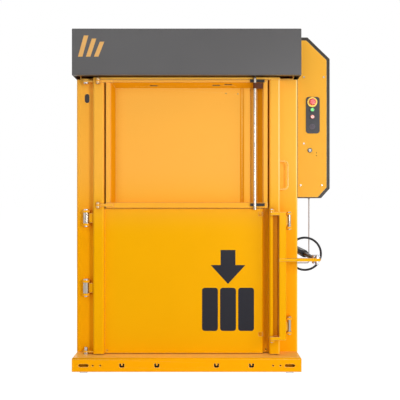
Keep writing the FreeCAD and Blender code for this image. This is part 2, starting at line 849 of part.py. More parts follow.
def make_door_hinges():
    ears = []
    pins = []
    knuckles = []
    half = hinge_ear_width / 2
    gap = hinge_bush_height / 2 + hinge_play
    for level in hinge_levels:
        for z in (level - gap - hinge_ear_sheet, level + gap):
            ear = prism([(hinge_x - half, post_y), (hinge_x - half, hinge_y - half),
                         (hinge_x + half, hinge_y - half), (hinge_x + half, post_y)],
                        "xy", z, z + hinge_ear_sheet, [0, half * ear_corner, half * ear_corner, 0])
            ears.append(ear.cut(round_bar(ALONG_Z, (hinge_x, hinge_y, z - 1), hinge_pin_r,
                                          hinge_ear_sheet + 2)))
        top = level + gap + hinge_ear_sheet
        length = 2 * (gap + hinge_ear_sheet) + hinge_head
        pins.append(fused([round_bar(ALONG_Z, (hinge_x, hinge_y, top - length), hinge_pin_r, length),
                           round_bar(ALONG_Z, (hinge_x, hinge_y, top), hinge_head_r, hinge_head)]))
        low = level - hinge_bush_height / 2
        bush = round_bar(ALONG_Z, (hinge_x, hinge_y, low), hinge_bush_r, hinge_bush_height)
        leaf = box(hinge_x, door_left, hinge_y - hinge_leaf / 2, hinge_y + hinge_leaf / 2,
                   low + hinge_leaf_inset, low + hinge_bush_height - hinge_leaf_inset)
        knuckles.append(fused([bush, leaf]).cut(
            round_bar(ALONG_Z, (hinge_x, hinge_y, low - 1), hinge_pin_r + pin_clearance,
                      hinge_bush_height + 2)))
    for z in (bottom_pivot_z, top_pivot_z):
        plate = prism([(hinge_x - half, hinge_y - half), (door_left, hinge_y - half),
                       (door_left, hinge_y + half), (hinge_x - half, hinge_y + half)],
                      "xy", z, z + pivot_plate, [half * ear_corner, 0, 0, half * ear_corner])
        knuckles.append(plate.cut(round_bar(ALONG_Z, (hinge_x, hinge_y, z - 1),
                                            hinge_pin_r + pin_clearance, pivot_plate + 2)))
    stud_top = bottom_pivot_z + pivot_pin_rise
    pins.append(fused([round_bar(ALONG_Z, (hinge_x, hinge_y, base_height), hinge_pin_r,
                                 stud_top - base_height),
                       round_bar(ALONG_Z, (hinge_x, hinge_y, base_height), hinge_head_r,
                                 bottom_pivot_z - hinge_play - base_height)]))
    hanger_z = top_pivot_z + pivot_plate + hinge_play
    head_z = top_pivot_z - pivot_head
    hanger = prism([(hinge_x - half, post_y), (hinge_x - half, hinge_y - half),
                    (hinge_x + half, hinge_y - half), (hinge_x + half, post_y)],
                   "xy", hanger_z, hanger_z + pivot_plate, [0, half * ear_corner, half * ear_corner, 0])
    ears.append(hanger.cut(round_bar(ALONG_Z, (hinge_x, hinge_y, hanger_z - 1), hinge_pin_r,
                                     pivot_plate + 2)))
    pins.append(fused([round_bar(ALONG_Z, (hinge_x, hinge_y, head_z), hinge_pin_r,
                                 hanger_z + pivot_plate - head_z),
                       round_bar(ALONG_Z, (hinge_x, hinge_y, head_z), hinge_head_r,
                                 pivot_head - hinge_play)]))
    return ears, pins, knuckles


# ---- Main door ----

def feed_stop(x0, x1):
    return box(x0, x1, door_back_y - door_sheet, door_back_y, panel_top, door_top - door_beam_height)


def make_door_post_left():
    post = folded([(door_left, door_back_y), (door_left, door_front_y), (door_inner_left, door_front_y),
                   (door_inner_left, door_back_y)], door_sheet, "xy", door_bottom, door_top)
    lugs = []
    lug_half = feed_knuckle_r
    reach = feed_knuckle_height / 2 + hinge_play
    for level in feed_hinge_levels:
        for z in (level - reach - feed_lug_sheet, level + reach):
            left, right = feed_hinge_x - lug_half, feed_hinge_x + lug_half
            nose = feed_hinge_y - lug_half
            lug = prism([(left, door_front_y), (left, nose), (right, nose), (right, door_front_y)],
                        "xy", z, z + feed_lug_sheet, [0, lug_half * ear_corner, lug_half * ear_corner, 0])
            lugs.append(lug.cut(round_bar(ALONG_Z, (feed_hinge_x, feed_hinge_y, z - 1), feed_pin_r,
                                          feed_lug_sheet + 2)))
    return fused([post, feed_stop(door_inner_left, door_inner_left + feed_stop_width)] + lugs)


def make_feed_pins():
    return [round_bar(ALONG_Z, (feed_hinge_x, feed_hinge_y, level - feed_pin_reach), feed_pin_r,
                      2 * feed_pin_reach) for level in feed_hinge_levels]


def make_door_post_right():
    post = folded([(door_inner_right, door_back_y), (door_inner_right, door_front_y),
                   (door_right, door_front_y), (door_right, door_back_y)],
                  door_sheet, "xy", door_bottom, door_top)
    ears = []
    half = lock_ear_width / 2
    for z in (lock_bottom - lock_play - lock_ear_sheet, lock_top + lock_play):
        ear = prism([(lock_axis_x - half * lock_ear_root, door_front_y),
                     (lock_axis_x - half * lock_ear_root, lock_axis_y - half),
                     (lock_axis_x + half, lock_axis_y - half), (lock_axis_x + half, door_front_y)],
                    "xy", z, z + lock_ear_sheet, [0, half * lock_ear_corner, half * lock_ear_corner, 0])
        ears.append(ear.cut(round_bar(ALONG_Z, (lock_axis_x, lock_axis_y, z - 1), lock_shaft_r,
                                      lock_ear_sheet + 2)))
    return fused([post, feed_stop(door_inner_right - feed_stop_width, door_inner_right)] + ears)


def make_lock_shaft():
    low = lock_bottom - lock_play - lock_ear_sheet - lock_shaft_tail
    high = lock_top + lock_play + lock_ear_sheet + lock_shaft_tail
    return round_bar(ALONG_Z, (lock_axis_x, lock_axis_y, low), lock_shaft_r, high - low)


def make_door_top_beam():
    low = door_top - door_beam_height
    beam = rect_tube("yz", door_front_y, door_back_y, low, door_top, door_inner_left, door_inner_right,
                     door_beam_wall)
    strip = box(door_left + door_strip_inset, door_right, door_front_y - door_strip_sheet, door_front_y,
                low, door_top)
    return fused([beam, strip])


def make_lower_panel():
    front = front_y + panel_setback
    path = [(door_inner_left, front), (panel_step_x, front), (panel_step_x, front + panel_step),
            (door_inner_right, front + panel_step)]
    sheet = folded(path, panel_sheet, "xy", door_bottom, panel_top)
    drains = [round_bar(ALONG_Y, (x, front - 1, door_bottom + panel_drain_rise), panel_drain_r,
                        panel_step + panel_sheet + 2)
              for x in (door_inner_left + panel_drain_inset, door_inner_right - panel_drain_inset)]
    half = panel_notch_height / 2
    left = panel_step_x - panel_notch_length
    notches = [prism([(left, z - half), (panel_step_x + 1, z - half), (panel_step_x + 1, z + half),
                      (left, z + half)], "xz", front - 1, front + panel_sheet + bend_r,
                     [bend_r, 0, 0, bend_r])
               for z in (door_bottom + lower_notch_rise, panel_top - upper_notch_drop)]
    return sheet.cut(Part.makeCompound(drains + notches))


def make_inner_plate():
    plate = box(door_inner_left, door_inner_right, door_back_y - inner_plate_sheet, door_back_y,
                door_bottom, panel_top)
    sill = box(door_inner_left + feed_stop_width, door_inner_right - feed_stop_width,
               door_back_y - door_sheet, door_back_y, panel_top, panel_top + feed_stop_width)
    return fused([plate, sill])


def make_stiffeners():
    y0 = front_y + panel_setback + panel_sheet
    y1 = door_back_y - inner_plate_sheet
    first = door_bottom
    pitch = (panel_top - stiffener_height - first) / (stiffener_count - 1)
    return [rect_tube("yz", y0, y1, first + i * pitch, first + i * pitch + stiffener_height,
                      door_inner_left, panel_step_x - panel_sheet - bend_r, stiffener_wall)
            for i in range(stiffener_count)]


def make_pull_handle():
    reach = door_right + handle_reach
    r = handle_bend_r
    dip = r * (1 - math.sqrt(0.5))
    corner = (Vector(reach - r, handle_y, handle_top), Vector(reach - dip, handle_y, handle_top - dip),
              Vector(reach, handle_y, handle_top - r))
    foot = (Vector(reach, handle_y, handle_bottom + r), Vector(reach - dip, handle_y, handle_bottom + dip),
            Vector(reach - r, handle_y, handle_bottom))
    path = Part.Wire([Part.LineSegment(Vector(door_right, handle_y, handle_top), corner[0]).toShape(),
                      Part.Arc(*corner).toShape(), Part.LineSegment(corner[2], foot[0]).toShape(),
                      Part.Arc(*foot).toShape(),
                      Part.LineSegment(foot[2], Vector(door_right, handle_y, handle_bottom)).toShape()])
    section = Part.Wire(Part.makeCircle(handle_bar_r, Vector(door_right, handle_y, handle_top), ALONG_X))
    return path.makePipeShell([section], True, False)


# ---- Feed door and its latch ----

def make_feed_frame():
    y0, y1 = feed_front_y, feed_back_y
    low = feed_bottom + feed_bottom_rail
    high = feed_top - feed_top_rail
    left = rect_tube("xy", feed_left, feed_left + feed_stile, y0, y1, low, high, feed_tube_wall)
    right = rect_tube("xy", feed_right - feed_stile, feed_right, y0, y1, low, high, feed_tube_wall)
    bottom = rect_tube("yz", y0, y1, feed_bottom, low, feed_left, feed_right, feed_tube_wall)
    top = rect_tube("yz", y0, y1, high, feed_top, feed_left, feed_right, feed_tube_wall)
    return [left, right, bottom, top]


def make_feed_panel():
    y = feed_front_y + feed_panel_recess
    left = feed_left + feed_stile
    right = feed_right - feed_stile
    top = feed_top - feed_top_rail
    near = y - feed_slope_depth
    path = [(left, near), (left + feed_slope_lead, near), (left + feed_slope_lead + feed_slope_run, y),
            (feed_groove_x, y), (feed_groove_x + feed_groove_width / 2, y + feed_groove_depth),
            (feed_groove_x + feed_groove_width, y), (feed_panel_fold_x, y),
            (feed_panel_fold_x, y + feed_panel_fold),
            (right - feed_slope_lead - feed_right_slope_run, y + feed_panel_fold),
            (right - feed_slope_lead, near), (right, near)]
    sheet = folded(path, feed_panel_sheet, "xy", feed_bottom + feed_bottom_rail, top, feed_panel_fold_r)
    rise = feed_slope_wall * feed_slope_drop / feed_slope_depth
    back = y + feed_panel_sheet / 2
    upper = prism([(back, top - feed_slope_drop), (near, top), (near + feed_slope_wall, top),
                   (back, top - feed_slope_drop + rise)], "yz", left, right)
    cuts = [obround("xz", x, feed_top - drop, feed_slot_length, feed_slot_height, near - 1,
                    y + feed_panel_sheet + 1) for x, drop in feed_slots]
    cuts += [round_bar(ALONG_Y, (x, y - 1, feed_top - drop), feed_hole_r, feed_panel_sheet + 2)
             for x, drop in feed_holes]
    return fused([sheet, upper]).cut(Part.makeCompound(cuts))


def make_feed_arms():
    arms = []
    for level in feed_hinge_levels:
        low = level - feed_knuckle_height / 2
        knuckle = round_bar(ALONG_Z, (feed_hinge_x, feed_hinge_y, low), feed_knuckle_r, feed_knuckle_height)
        bar = box(feed_hinge_x, feed_arm_end_x, feed_front_y - feed_arm_sheet, feed_front_y,
                  low, low + feed_knuckle_height)
        arms.append(fused([knuckle, bar]).cut(
            round_bar(ALONG_Z, (feed_hinge_x, feed_hinge_y, low - 1), feed_pin_r + pin_clearance,
                      feed_knuckle_height + 2)))
    return arms


def make_saddles():
    saddles = []
    for level in saddle_levels:
        x0 = latch_x + saddle_offset - saddle_width / 2
        block = box(x0, x0 + saddle_width, feed_front_y - saddle_depth, feed_front_y,
                    level - saddle_height / 2, level + saddle_height / 2)
        saddles.append(block.cut(round_bar(ALONG_Z, (latch_x, latch_y, level - saddle_height),
                                           latch_rod_r + pin_clearance, 2 * saddle_height)))
    return saddles


def make_latch_rod():
    rod = round_bar(ALONG_Z, (latch_x, latch_y, latch_bottom), latch_rod_r, latch_top - latch_bottom)
    tip = [e for e in rod.Edges if e.Closed]
    return rod.makeChamfer(latch_chamfer, tip)


def make_latch_cam():
    half = cam_sheet / 2
    blade = prism([(latch_x, latch_y - half), (latch_x + cam_length, latch_y - half),
                   (latch_x + cam_length, latch_y + half), (latch_x, latch_y + half)],
                  "xy", cam_z, cam_z + cam_height, [0, cam_sheet * cam_corner, cam_sheet * cam_corner, 0])
    collar = round_bar(ALONG_Z, (latch_x, latch_y, cam_z), latch_rod_r + cam_collar, cam_height)
    return fused([blade, collar]).cut(
        round_bar(ALONG_Z, (latch_x, latch_y, cam_z - 1), latch_rod_r, cam_height + 2))


# ---- Lock bar, lock arm and keepers ----

def make_lock_bar():
    y0 = front_y + lock_bar_front_setback
    y1 = front_y + lock_bar_back_setback
    tube = round_bar(ALONG_Z, (lock_axis_x, lock_axis_y, lock_bottom), lock_tube_r, lock_top - lock_bottom)
    web = box(lock_axis_x, lock_bar_left, y1 - lock_web, y1, lock_bottom, lock_top)
    bar = rect_tube("xy", lock_bar_left, lock_bar_right, y0, y1, lock_bottom, lock_top, lock_bar_wall)
    pieces = [tube, web, bar]
    for z in (lock_bottom, lock_top - lock_cap):
        pieces.append(prism([(lock_axis_x - lock_tube_r, y0), (lock_bar_right, y0), (lock_bar_right, y1),
                             (lock_axis_x - lock_tube_r, y1)], "xy", z, z + lock_cap,
                            [lock_tube_r * ear_corner, bend_r, bend_r, lock_tube_r * ear_corner]))
    bar = fused(pieces).cut(round_bar(ALONG_Z, (lock_axis_x, lock_axis_y, lock_bottom - 1),
                                      lock_shaft_r + pin_clearance, lock_top - lock_bottom + 2))
    half = lock_nose_height / 2
    noses = [prism([(lock_bar_right, level - half), (lock_nose_x, level - half), (lock_nose_x, level + half),
                    (lock_bar_right, level + half)], "xz", y0 + lock_nose_inset, y1 - lock_nose_inset,
                   [0, bend_r, bend_r, 0]) for level in keeper_levels]
    return [bar] + noses


def make_lock_arm():
    bar_y = front_y + lock_bar_front_setback
    tip_front = front_y + arm_tip_front_setback
    tip_back = front_y + arm_tip_back_setback
    nose = screw_x - thrust_width / 2 - arm_nose_gap
    plate = prism([(lock_bar_left, front_y + arm_front_setback), (nose, tip_front), (arm_end_x, tip_front),
                   (arm_end_x, tip_back), (lock_bar_right, tip_back), (lock_bar_right, bar_y),
                   (lock_bar_left, bar_y)], "xy", arm_z, arm_z + arm_sheet,
                  [arm_edge_r, 0, arm_corner_r, arm_corner_r, 0, 0, 0])
    bolt_y = (tip_front + tip_back) / 2
    middle = arm_z + arm_sheet / 2
    low = middle - arm_bolt_length / 2
    bolt = round_bar(ALONG_Z, (screw_x, bolt_y, low), arm_bolt_r, arm_bolt_length)
    head_points = [(screw_x + arm_bolt_head_r * math.cos(math.radians(60 * i)),
                    bolt_y + arm_bolt_head_r * math.sin(math.radians(60 * i))) for i in range(6)]
    head = prism(head_points, "xy", arm_z + arm_sheet, arm_z + arm_sheet + arm_bolt_head)
    nut = prism(head_points, "xy", arm_z - arm_bolt_head, arm_z)
    return fused([plate, bolt, head, nut])


def make_keepers():
    ears = []
    pins = []
    pin_y = front_y + keeper_setback
    half = keeper_ear_width / 2
    for level in keeper_levels:
        for z in (level - keeper_clear_height / 2 - keeper_ear_sheet, level + keeper_clear_height / 2):
            ear = prism([(keeper_x - half, post_y), (keeper_x - half, pin_y - half),
                         (keeper_x + half, pin_y - half), (keeper_x + half, post_y)],
                        "xy", z, z + keeper_ear_sheet, [0, half * ear_corner, half * ear_corner, 0])
            ears.append(ear.cut(round_bar(ALONG_Z, (keeper_x, pin_y, z - 1), keeper_pin_r,
                                          keeper_ear_sheet + 2)))
        low = level - keeper_clear_height / 2 - keeper_ear_sheet - keeper_pin_tail
        pins.append(round_bar(ALONG_Z, (keeper_x, pin_y, low), keeper_pin_r,
                              keeper_clear_height + 2 * (keeper_ear_sheet + keeper_pin_tail)))
    return ears, pins


# ---- Handwheel, screw and thrust block ----

def make_thrust_block():
    front = front_y + arm_tip_back_setback + thrust_gap
    half = thrust_width / 2
    low = screw_z - thrust_height / 2
    block = prism([(screw_x - half, low), (screw_x + half, low), (screw_x + half, low + thrust_height),
                   (screw_x - half, low + thrust_height)], "xz", front, front + thrust_length, [bend_r] * 4)
    return block.cut(round_bar(ALONG_Y, (screw_x, front + thrust_cap, screw_z), screw_r + pin_clearance,
                               thrust_length))


def make_screw():
    return round_bar(ALONG_Y, (screw_x, screw_front, screw_z), screw_r, screw_back - screw_front)


def make_handwheel():
    centre = Vector(screw_x, wheel_y, screw_z)
    rim = Part.makeTorus(wheel_r - wheel_rim_r, wheel_rim_r, centre, ALONG_Y)
    hub = round_bar(ALONG_Y, (screw_x, wheel_y - wheel_hub_length / 2, screw_z), wheel_hub_r,
                    wheel_hub_length)
    reach = wheel_r - wheel_rim_r
    spoke = box(-reach, reach, -wheel_spoke_sheet / 2, wheel_spoke_sheet / 2,
                -wheel_spoke_width / 2, wheel_spoke_width / 2)
    spoke.rotate(Vector(0, 0, 0), ALONG_Y, -wheel_spoke_angle)
    spoke.translate(centre)
    shape = fused([rim, spoke, hub])
    return shape.cut(round_bar(ALONG_Y, (screw_x, wheel_y - wheel_hub_length, screw_z), screw_r,
                               2 * wheel_hub_length))


def make_screw_tube():
    tube = round_bar(ALONG_Y, (screw_x, tube_front, screw_z), tube_r, tube_back - tube_front)
    return tube.cut(round_bar(ALONG_Y, (screw_x, tube_front - 1, screw_z), screw_r + pin_clearance,
                              tube_back - tube_end_wall - tube_front))


def make_bracket():
    tube = round_bar(ALONG_Y, (screw_x, tube_front, screw_z), tube_r, tube_back - tube_front)
    low = screw_z - bracket_height / 2
    high = screw_z + bracket_height / 2
    plates = []
    for y in bracket_places:
        plate = prism([(wall_x, low - bracket_foot), (wall_x + bracket_root, low - bracket_foot),
                       (screw_x, low + bracket_chamfer), (screw_x, high - bracket_chamfer),
                       (wall_x + bracket_root, high + bracket_head), (wall_x, high + bracket_head)],
                      "xz", y, y + bracket_sheet)
        plates.append(plate.cut(tube))
    return plates


# ---- Control cabinet ----

def cabinet_outline():
    return [(cabinet_left, cabinet_bottom), (cabinet_right - cabinet_bottom_cut_x, cabinet_bottom),
            (cabinet_right, cabinet_bottom + cabinet_bottom_cut_z),
            (cabinet_right, cabinet_top - cabinet_top_cut_z),
            (cabinet_right - cabinet_top_cut_x, cabinet_top), (cabinet_left, cabinet_top)]


def edge_radii(beside_post):
    return [beside_post] + [cabinet_corner_r] * 4 + [beside_post]


def make_cabinet_shell():
    y0 = front_y + cabinet_setback
    y1 = y0 + cabinet_depth
    outline = cabinet_outline()
    shell = prism(outline, "xz", y0, y1, edge_radii(cabinet_back_edge_r))
    seat = y0 + cover_sheet - cover_proud
    shell = shell.cut(prism(inset(outline, [cabinet_wall] * 6), "xz", y0 - 1, seat))
    shell = shell.cut(prism(inset(outline, [cabinet_wall] * 6), "xz", seat + cabinet_wall,
                            y1 - cabinet_wall))
    return shell.cut(prism(inset(outline, [cabinet_flange] * 6), "xz", seat - 1, seat + cabinet_wall + 1))


def switch_holes():
    y0 = front_y + cabinet_setback - control_hole_start
    holes = [round_bar(ALONG_Y, (switch_x, y0, z), stem_r + stem_play, control_hole_length)
             for z in (estop_z, start_z, stop_z)]
    holes.append(round_bar(ALONG_Y, (key_x, y0, key_z), key_core_r + stem_play, control_hole_length))
    return Part.makeCompound(holes)


def make_cabinet_cover():
    y0 = front_y + cabinet_setback - cover_proud
    gaps = [cabinet_seam + cabinet_wall, cabinet_band, cabinet_band, cabinet_band, cabinet_band,
            cabinet_seam + cabinet_wall]
    cover = prism(inset(cabinet_outline(), gaps), "xz", y0, y0 + cover_sheet, edge_radii(cover_edge_r))
    return cover.cut(switch_holes())


def control_plate_front():
    return front_y + cabinet_setback - cover_proud - control_plate_sheet


def make_control_plate():
    half = control_plate_width / 2
    tall = control_plate_height / 2
    x, z = control_plate_x, control_plate_z
    y0 = control_plate_front()
    plate = prism([(x - half, z - tall), (x + half, z - tall), (x + half, z + tall), (x - half, z + tall)],
                  "xz", y0, y0 + control_plate_sheet, [control_plate_r] * 4)
    return plate.cut(switch_holes())


def ring(x, z, back_y, outer_r, inner_r, height):
    body = round_bar(ALONG_Y, (x, back_y - height, z), outer_r, height)
    front = [e for e in body.Edges if e.BoundBox.YMax < back_y - height + 0.1]
    body = body.makeChamfer(bezel_chamfer, front)
    return body.cut(round_bar(ALONG_Y, (x, back_y - height - 1, z), inner_r, height + 2))


def make_switch_rings():
    y = control_plate_front()
    bezels = [ring(switch_x, z, y, bezel_r, stem_r + stem_play, bezel_height) for z in (start_z, stop_z)]
    cover_y = front_y + cabinet_setback - cover_proud
    bezels.append(ring(key_x, key_z, cover_y, key_ring_r, key_core_r + stem_play, bezel_height))
    return ring(switch_x, estop_z, y, estop_ring_r, stem_r + stem_play, bezel_height), bezels


def make_estop():
    y = control_plate_front() - bezel_height - estop_travel - estop_gap
    stem = round_bar(ALONG_Y, (switch_x, y - 1, estop_z), stem_r, stem_length)
    head = round_bar(ALONG_Y, (switch_x, y - estop_head_height, estop_z), estop_head_r, estop_head_height)
    front = [e for e in head.Edges if e.BoundBox.YMax < y - estop_head_height + 0.1]
    head = head.makeFillet(estop_head_height * estop_dome, front)
    return fused([stem, head])


def make_button(z):
    y = control_plate_front() - bezel_height - button_proud
    cap = round_bar(ALONG_Y, (switch_x, y, z), stem_r, stem_length)
    front = [e for e in cap.Edges if e.BoundBox.YMax < y + 0.1]
    return cap.makeFillet(button_edge_r, front)


def make_key_core():
    y = front_y + cabinet_setback - cover_proud - bezel_height - key_proud
    core = round_bar(ALONG_Y, (key_x, y, key_z), key_core_r, stem_length)
    slot = box(key_x - key_slot_width / 2, key_x + key_slot_width / 2, y - 1, y + key_slot_depth,
               key_z - key_slot_length / 2, key_z + key_slot_length / 2)
    return core.cut(slot)


# ---- Power unit, conduit and lock switch ----

def make_power_unit():
    floor_z = cabinet_bottom + cabinet_wall
    x0 = cabinet_left + cabinet_wall + tank_inset_x
    back = front_y + cabinet_setback + cabinet_depth - cabinet_wall - tank_inset_y
    tank = prism([(x0, back - tank_depth), (x0 + tank_width, back - tank_depth), (x0 + tank_width, back),
                  (x0, back)], "xy", floor_z, floor_z + tank_height, [tank_corner_r] * 4)
    middle = (x0 + tank_width / 2, back - tank_depth / 2)
    motor = [round_bar(ALONG_Z, (*middle, floor_z + tank_height), motor_r - motor_fin, motor_height)]
    for i in range(motor_fin_count):
        rise = motor_fin_margin + i * (motor_height - 2 * motor_fin_margin) / motor_fin_count
        z = floor_z + tank_height + rise
        motor.append(round_bar(ALONG_Z, (*middle, z), motor_r, motor_fin))
    return [tank, fused(motor)]


def make_conduit():
    r = conduit_bend_r
    top = cabinet_bottom
    end_x = wall_x + switch_box_width
    dip = r * (1 - math.sqrt(0.5))
    bend = (Vector(conduit_x, conduit_y, conduit_z + r),
            Vector(conduit_x - dip, conduit_y, conduit_z + dip),
            Vector(conduit_x - r, conduit_y, conduit_z))
    path = Part.Wire([Part.LineSegment(Vector(conduit_x, conduit_y, top), bend[0]).toShape(),
                      Part.Arc(*bend).toShape(),
                      Part.LineSegment(bend[2], Vector(end_x, conduit_y, conduit_z)).toShape()])
    section = Part.Wire(Part.makeCircle(conduit_r, Vector(conduit_x, conduit_y, top), ALONG_Z))
    lead = path.makePipeShell([section], True, False)
    upper = round_bar(ALONG_Z, (conduit_x, conduit_y, top - conduit_gland_length), conduit_gland_r,
                      conduit_gland_length)
    lower = round_bar(ALONG_X, (end_x, conduit_y, conduit_z), conduit_gland_r, conduit_gland_length)
    return fused([lead, upper, lower])


def make_switch_box():
    y0 = conduit_y - switch_box_depth / 2
    z0 = conduit_z - switch_box_height / 2
    return prism([(y0, z0), (y0 + switch_box_depth, z0), (y0 + switch_box_depth, z0 + switch_box_height),
                  (y0, z0 + switch_box_height)], "yz", wall_x, wall_x + switch_box_width, [bend_r] * 4)


# ---- All pieces ----

front_post_left, front_post_right, post_plug = make_front_posts()
hinge_ears, hinge_pins, hinge_knuckles = make_door_hinges()
keeper_ears, keeper_pins = make_keepers()
estop_ring, switch_bezels = make_switch_rings()
left_barrel = make_barrel()
left_rod = make_cylinder_rod()

nodes = {
    "base_frame": make_base(),
    "anchor_feet": make_feet(),
    "strap_channels": make_strap_channels(),
    "chamber_floor": make_floor(),
    "front_post_left": front_post_left,
    "front_post_right": front_post_right,
    "post_hole_plug": post_plug,
    "rear_posts": make_rear_posts(),
    "side_walls": make_side_walls(),
    "back_wall": make_back_wall(),
    "wall_ribs": make_ribs(),
    "top_rails": make_top_rails(),
    "crosshead_beams": make_crosshead(),
    "cylinder_pins": make_cylinder_pins(),
    "platen_guides": make_guides(),
    "hood": make_hood(),
    "door_hinge_ears": hinge_ears,
    "door_hinge_pins": hinge_pins,
    "lock_keepers": keeper_ears,
    "keeper_pins": keeper_pins,
    "screw_tube": make_screw_tube(),
    "screw_bracket": make_bracket(),
    "cabinet_shell": make_cabinet_shell(),
    "cabinet_cover": make_cabinet_cover(),
    "control_plate": make_control_plate(),
    "estop_collar": estop_ring,
    "switch_bezels": switch_bezels,
    "switch_conduit": make_conduit(),
    "lock_switch_box": make_switch_box(),
    "power_unit": make_power_unit(),
    "door_post_left": make_door_post_left(),
    "door_post_right": make_door_post_right(),
    "door_top_beam": make_door_top_beam(),
    "lower_panel": make_lower_panel(),
    "door_inner_plate": make_inner_plate(),
    "door_stiffeners": make_stiffeners(),
    "door_hinge_knuckles": hinge_knuckles,
    "pull_handle": make_pull_handle(),
    "feed_hinge_pins": make_feed_pins(),
    "lock_pivot_shaft": make_lock_shaft(),
    "feed_door_frame": make_feed_frame(),
    "feed_door_panel": make_feed_panel(),
    "feed_hinge_arms": make_feed_arms(),
    "latch_saddles": make_saddles(),
    "latch_rod": make_latch_rod(),
    "latch_cam": make_latch_cam(),
    "lock_bar": make_lock_bar(),
    "lock_arm": make_lock_arm(),
    "thrust_block": make_thrust_block(),
    "handwheel": make_handwheel(),
    "lock_screw": make_screw(),
    "platen": make_platen(),
    "cylinder_barrel_left": left_barrel,
    "cylinder_barrel_right": other_cylinder(left_barrel),
    "cylinder_rod_left": left_rod,
    "cylinder_rod_right": other_cylinder(left_rod),
    "estop_button": make_estop(),
    "start_button": make_button(start_z),
    "stop_button": make_button(stop_z),
    "key_switch": make_key_core(),
}

os.makedirs("parts", exist_ok=True)
for name, shape in nodes.items():
    if isinstance(shape, list):
        shape = Part.makeCompound(shape)
    shape.exportStep("parts/" + name + ".step")
    print(name, len(shape.Solids), "solids", round(shape.Volume), "mm3", shape.isValid())
print("joint axes: cylinder rest angle", round(rest_angle, 4), "rest reach", round(rest_reach, 4))
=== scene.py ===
import json
import math

import bmesh
import bpy
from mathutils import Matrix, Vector


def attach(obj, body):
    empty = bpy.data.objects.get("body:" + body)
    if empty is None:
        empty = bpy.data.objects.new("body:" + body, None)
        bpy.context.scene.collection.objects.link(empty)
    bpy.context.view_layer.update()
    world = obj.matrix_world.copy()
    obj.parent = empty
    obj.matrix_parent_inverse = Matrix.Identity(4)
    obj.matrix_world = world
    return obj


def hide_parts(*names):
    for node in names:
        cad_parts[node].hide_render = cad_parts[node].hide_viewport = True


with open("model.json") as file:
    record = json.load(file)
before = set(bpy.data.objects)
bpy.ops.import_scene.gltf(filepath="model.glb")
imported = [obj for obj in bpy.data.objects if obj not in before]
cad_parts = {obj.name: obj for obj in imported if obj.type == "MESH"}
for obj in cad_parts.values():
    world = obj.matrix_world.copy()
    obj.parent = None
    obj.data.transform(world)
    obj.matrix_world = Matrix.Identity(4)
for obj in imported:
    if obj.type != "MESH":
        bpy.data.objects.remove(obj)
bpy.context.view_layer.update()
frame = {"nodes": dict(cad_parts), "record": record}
print("frame loaded:", len(frame["nodes"]), "nodes")


# small helpers

colourA, colourB, colourOut = 6, 7, 2  # the places of a Mix node's colour sockets
mergeDistance = 1e-6


def linearTone(code):
    parts = [int(code[i:i + 2], 16) / 255 for i in (1, 3, 5)]
    return [p / 12.92 if p <= 0.04045 else ((p + 0.055) / 1.055) ** 2.4 for p in parts] + [1.0]


def perMetre(sizeMm):
    return 1000.0 / sizeMm  # a noise scale whose blobs are about sizeMm across


def addNode(tree, kind, settings=None, values=None, links=None):
    node = tree.nodes.new(kind)
    for key, value in (settings or {}).items():
        setattr(node, key, value)
    for key, value in (values or {}).items():
        node.inputs[key].default_value = value
    for key, socket in (links or {}).items():
        tree.links.new(socket, node.inputs[key])
    return node


def newFinish(name, shaderValues):
    finish = bpy.data.materials.new(name)
    finish.use_nodes = True
    tree = finish.node_tree
    tree.nodes.clear()
    shader = addNode(tree, "ShaderNodeBsdfPrincipled", values=shaderValues)
    addNode(tree, "ShaderNodeOutputMaterial", links={"Surface": shader.outputs[0]})
    place = addNode(tree, "ShaderNodeTexCoord").outputs["Object"]
    return finish, tree, shader, place


# finishes

# the fold and edge ranges below shape the painted shade in folds and the painted highlight on edges
coatRanges = {"foldFrom": 0.97, "foldTo": 0.55,  # how open the place is, from flat to deep in a fold
              "edgeFrom": 0.98, "edgeTo": 0.75,  # how far the rounded face turns from the flat one
              "peelDepth": 0.0004, "rubMm": 45.0, "glossier": 0.05, "duller": 0.07}


